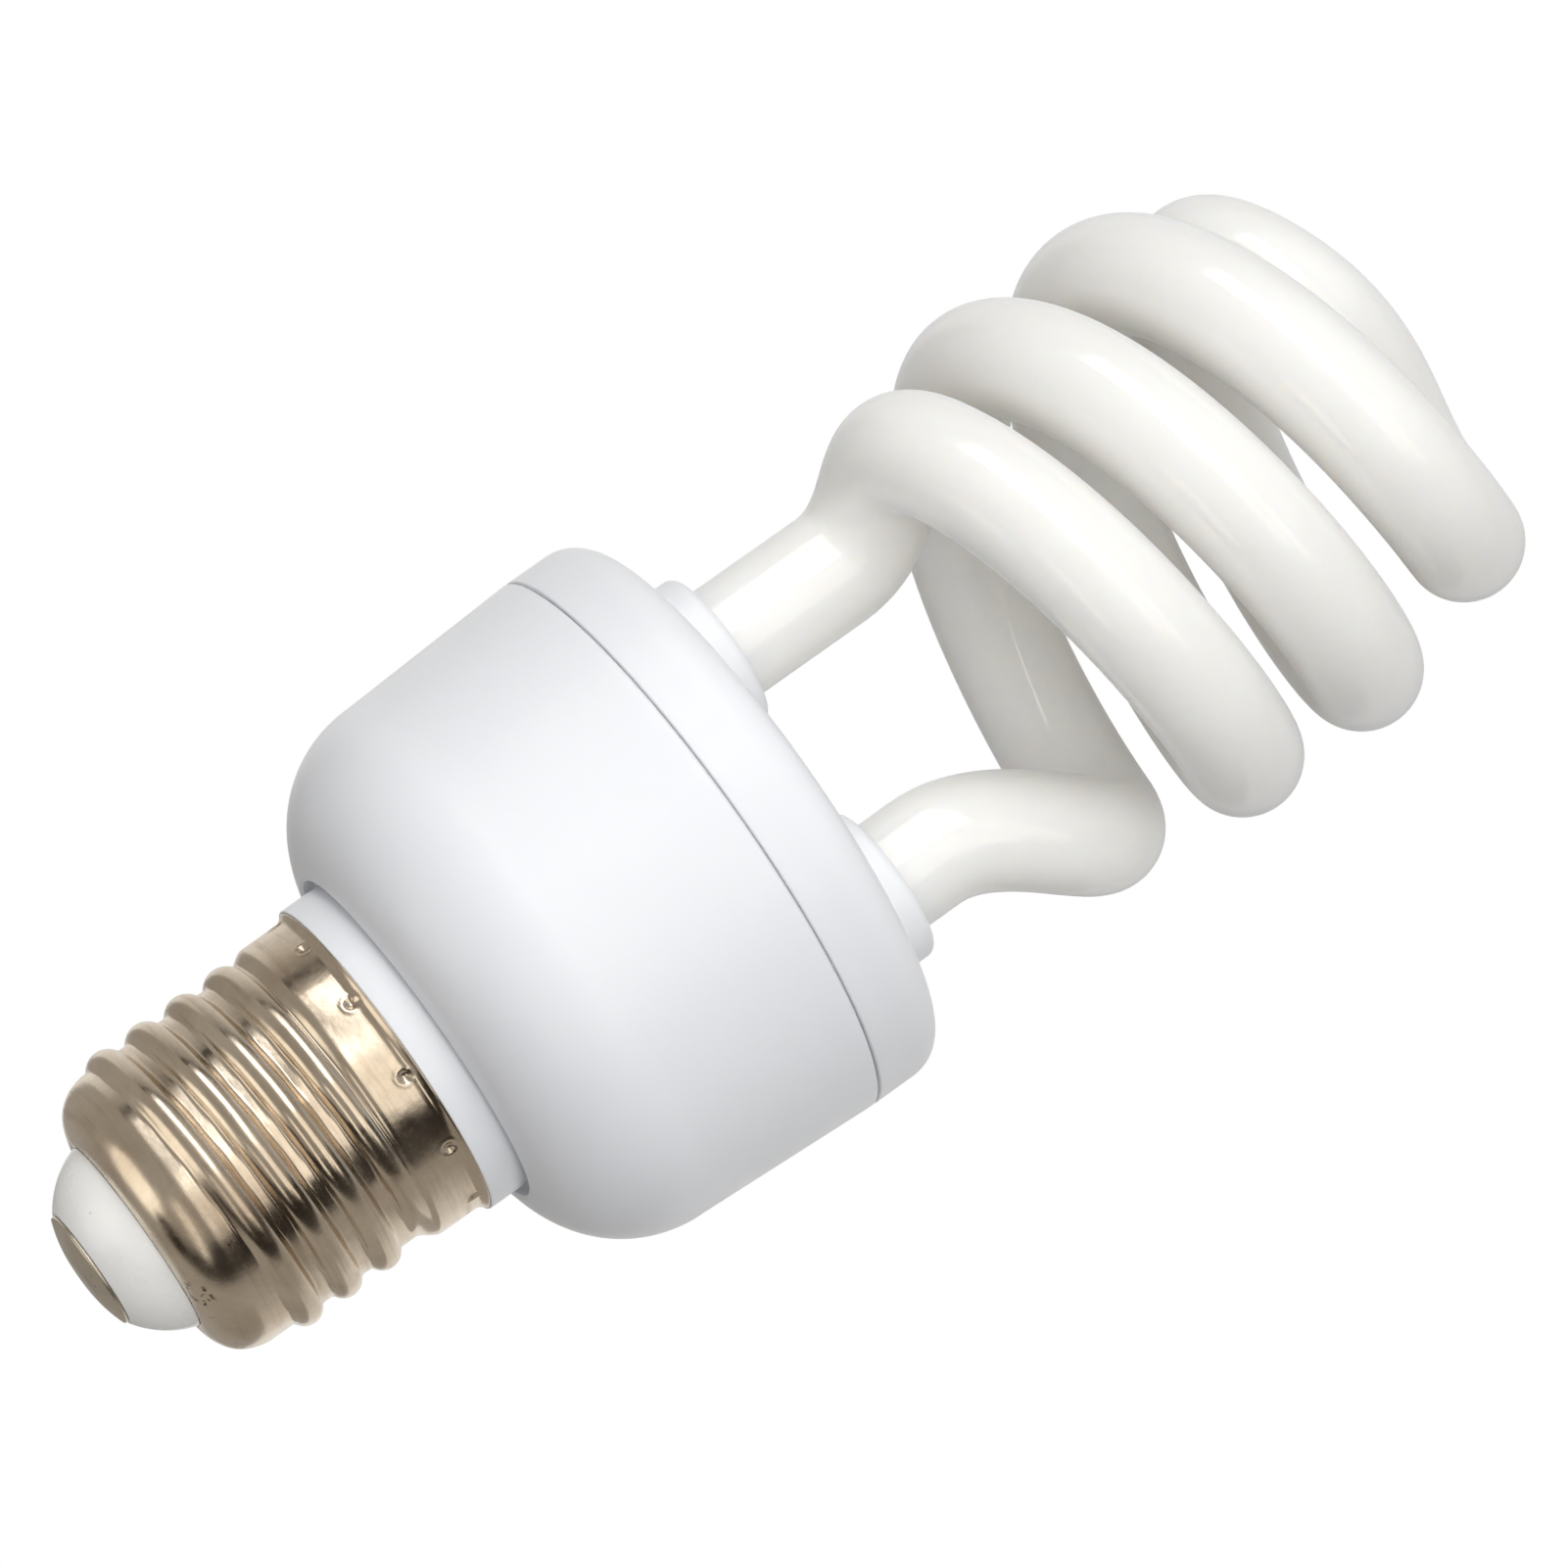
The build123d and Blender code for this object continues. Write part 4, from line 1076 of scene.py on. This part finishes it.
# floor, world and lamps; only polished metal sees the cards, sectors and stripes. A sector is in
# degrees round the upright axis from the camera's side. A stripe or band is (middle, half width), on
# the floor in metres from the origin and on the wall as the upward part of a unit direction. A card
# on the floor is (place, radius) and a fade is (first, last)
studio = {
    "floorSize": 1.6,
    "floorDrop": -0.07,
    "floorGrain": (30.0, 3.0),
    "floorBand": (0.3, 0.7),
    "floorPale": (0.86, 0.86, 0.86),
    "floorShade": (0.84, 0.84, 0.845),
    "floorRough": 0.8,
    "floorBounce": (0.60, 0.60, 0.61),
    "floorFade": (0.16, 0.5),
    "studioGrey": (0.37, 0.345, 0.31),
    "studioBack": (0.90, 0.88, 0.84),
    "backFade": (0.1, 0.9),
    "cardWhite": (1.35, 1.27, 1.13),
    "cardBlack": (0.03, 0.025, 0.02),
    "cardCream": (1.45, 1.37, 1.24),
    "whiteCard": ((-0.041, -0.028, -0.07), 0.032),
    "blackCard": ((0.012, -0.027, -0.07), 0.016),
    "blackSector": (34, 68),
    "blackPost": (-85, -80),
    "whiteSector": (-4, 42),
    "wallStripe": (0.40, 0.06),
    "floorStripe": (0.15, 0.014),
    "creamSector": (-20, 34),
    "creamBand": (0.15, 0.08),
    "ambient": (0.985, 0.99, 1.0),
    "ambientFade": (-0.9, 0.2),
    "ambientFront": 0.95,
    "ambientBack": 0.31,
}
# a lamp's place and what it is aimed at are in mm, its size in metres
lampAim = (0, 0, 66)
lamps = {
    "key": {
        "place": (-540, -640, 300),
        "size": (1.0, 0.36),
        "watts": 2.4,
        "colour": (1.0, 0.995, 0.985),
        "reflected": True,
    },
    "front": {
        "place": (60, -700, 40),
        "size": (1.0, 0.20),
        "watts": 1.6,
        "colour": (1.0, 0.995, 0.985),
        "reflected": False,
    },
    "rear": {
        "place": (-60, 700, 40),
        "size": (1.0, 0.20),
        "watts": 1.25,
        "colour": (1.0, 1.0, 1.0),
        "reflected": False,
    },
}


def addFloor(s):
    size, h = s["floorSize"], s["floorDrop"]
    corners = [(-size, -size, h), (size, -size, h), (size, size, h), (-size, size, h)]
    floor = bpy.data.meshes.new("floor")
    floor.from_pydata(corners, [], [(0, 1, 2, 3)])
    obj = bpy.data.objects.new("floor", floor)
    scene.collection.objects.link(obj)
    material = bpy.data.materials.new("paleFloor")
    material.use_nodes = True
    n = Nodes(material.node_tree)
    where = n.add("ShaderNodeTexCoord").outputs["Object"]
    shader = n.add("ShaderNodeBsdfPrincipled", {"Roughness": s["floorRough"]})
    path = n.add("ShaderNodeLightPath").outputs
    # the floor is pale to the eye, and darker where it throws light back on the lamp
    grain = n.spread(n.noise(where, *s["floorGrain"]), *s["floorBand"])
    pale = n.blend(grain, s["floorPale"], s["floorShade"])
    link(n, n.blend(path["Is Camera Ray"], s["floorBounce"], pale), shader, "Base Color")
    # polished metal sees it grey, with a black sector, a white stripe, a white card and a black one
    away = n.add("ShaderNodeVectorMath", {0: where}, operation="LENGTH").outputs["Value"]
    seen = n.blend(n.sector(where, *s["blackSector"]), s["studioGrey"], s["cardBlack"])
    stripe = n.times(n.sector(where, *s["whiteSector"]), n.ridge(away, *s["floorStripe"]))
    seen = n.blend(stripe, seen, s["cardWhite"])
    seen = n.blend(n.patch(where, *s["whiteCard"]), seen, s["cardWhite"])
    seen = n.blend(n.patch(where, *s["blackCard"]), seen, s["cardBlack"])
    grey = n.add("ShaderNodeEmission", {"Color": seen}).outputs[0]
    both = n.add("ShaderNodeMixShader", {0: path["Is Glossy Ray"], 1: shader.outputs[0], 2: grey})
    # far from the lamp it passes into the white background without a horizon
    far = n.times(n.spread(away, *s["floorFade"]), path["Is Camera Ray"])
    white = n.add("ShaderNodeEmission", {"Color": (1, 1, 1, 1)}).outputs[0]
    whole = n.add("ShaderNodeMixShader", {0: far, 1: both.outputs[0], 2: white}).outputs[0]
    n.add("ShaderNodeOutputMaterial", {"Surface": whole})
    obj.data.materials.append(material)


def addWorld(s):
    world = bpy.data.worlds.new("studio")
    scene.world = world
    world.use_nodes = True
    n = Nodes(world.node_tree)
    ray = n.add("ShaderNodeLightPath").outputs
    way = n.add("ShaderNodeTexCoord").outputs["Generated"]
    parts = n.add("ShaderNodeSeparateXYZ", {"Vector": way}).outputs
    # soft light from all round, stronger from the front
    fill = n.spread(parts["Y"], *s["ambientFade"], s["ambientFront"], s["ambientBack"])
    soft = n.add("ShaderNodeBackground", {"Color": (*s["ambient"], 1), "Strength": fill}).outputs[0]
    # polished metal sees a grey room that turns white behind the lamp, with a black corner and post,
    # a white stripe and a cream card
    level = n.blend(n.spread(parts["Y"], *s["backFade"]), s["studioGrey"], s["studioBack"])
    level = n.blend(n.sector(way, *s["blackSector"]), level, s["cardBlack"])
    level = n.blend(n.sector(way, *s["blackPost"]), level, s["cardBlack"])
    stripe = n.times(n.sector(way, *s["whiteSector"]), n.ridge(parts["Z"], *s["wallStripe"]))
    level = n.blend(stripe, level, s["cardWhite"])
    card = n.times(n.sector(way, *s["creamSector"]), n.ridge(parts["Z"], *s["creamBand"]))
    level = n.blend(card, level, s["cardCream"])
    room = n.add("ShaderNodeBackground", {"Color": level, "Strength": 1.0}).outputs[0]
    lit = n.add("ShaderNodeMixShader", {0: ray["Is Glossy Ray"], 1: soft, 2: room}).outputs[0]
    # the camera sees plain white, also through glass
    white = n.add("ShaderNodeBackground", {"Color": (1, 1, 1, 1), "Strength": 1.0}).outputs[0]
    seen = n.math("MAXIMUM", ray["Is Camera Ray"], ray["Is Transmission Ray"])
    whole = n.add("ShaderNodeMixShader", {0: seen, 1: lit, 2: white}).outputs[0]
    n.add("ShaderNodeOutputWorld", {"Surface": whole})


def addLamp(name, s):
    data = bpy.data.lights.new(name, "AREA")
    data.shape = "RECTANGLE"
    data.size, data.size_y = s["size"]
    data.energy = s["watts"]
    data.color = s["colour"]
    obj = bpy.data.objects.new(name, data)
    scene.collection.objects.link(obj)
    place, aim = Vector(s["place"]) * mm, Vector(lampAim) * mm
    obj.visible_glossy = s["reflected"]
    obj.location = place
    obj.rotation_euler = (aim - place).to_track_quat("-Z", "Y").to_euler()


addFloor(studio)
addWorld(studio)
for lampName, settings in lamps.items():
    addLamp(lampName, settings)
print("studio set")
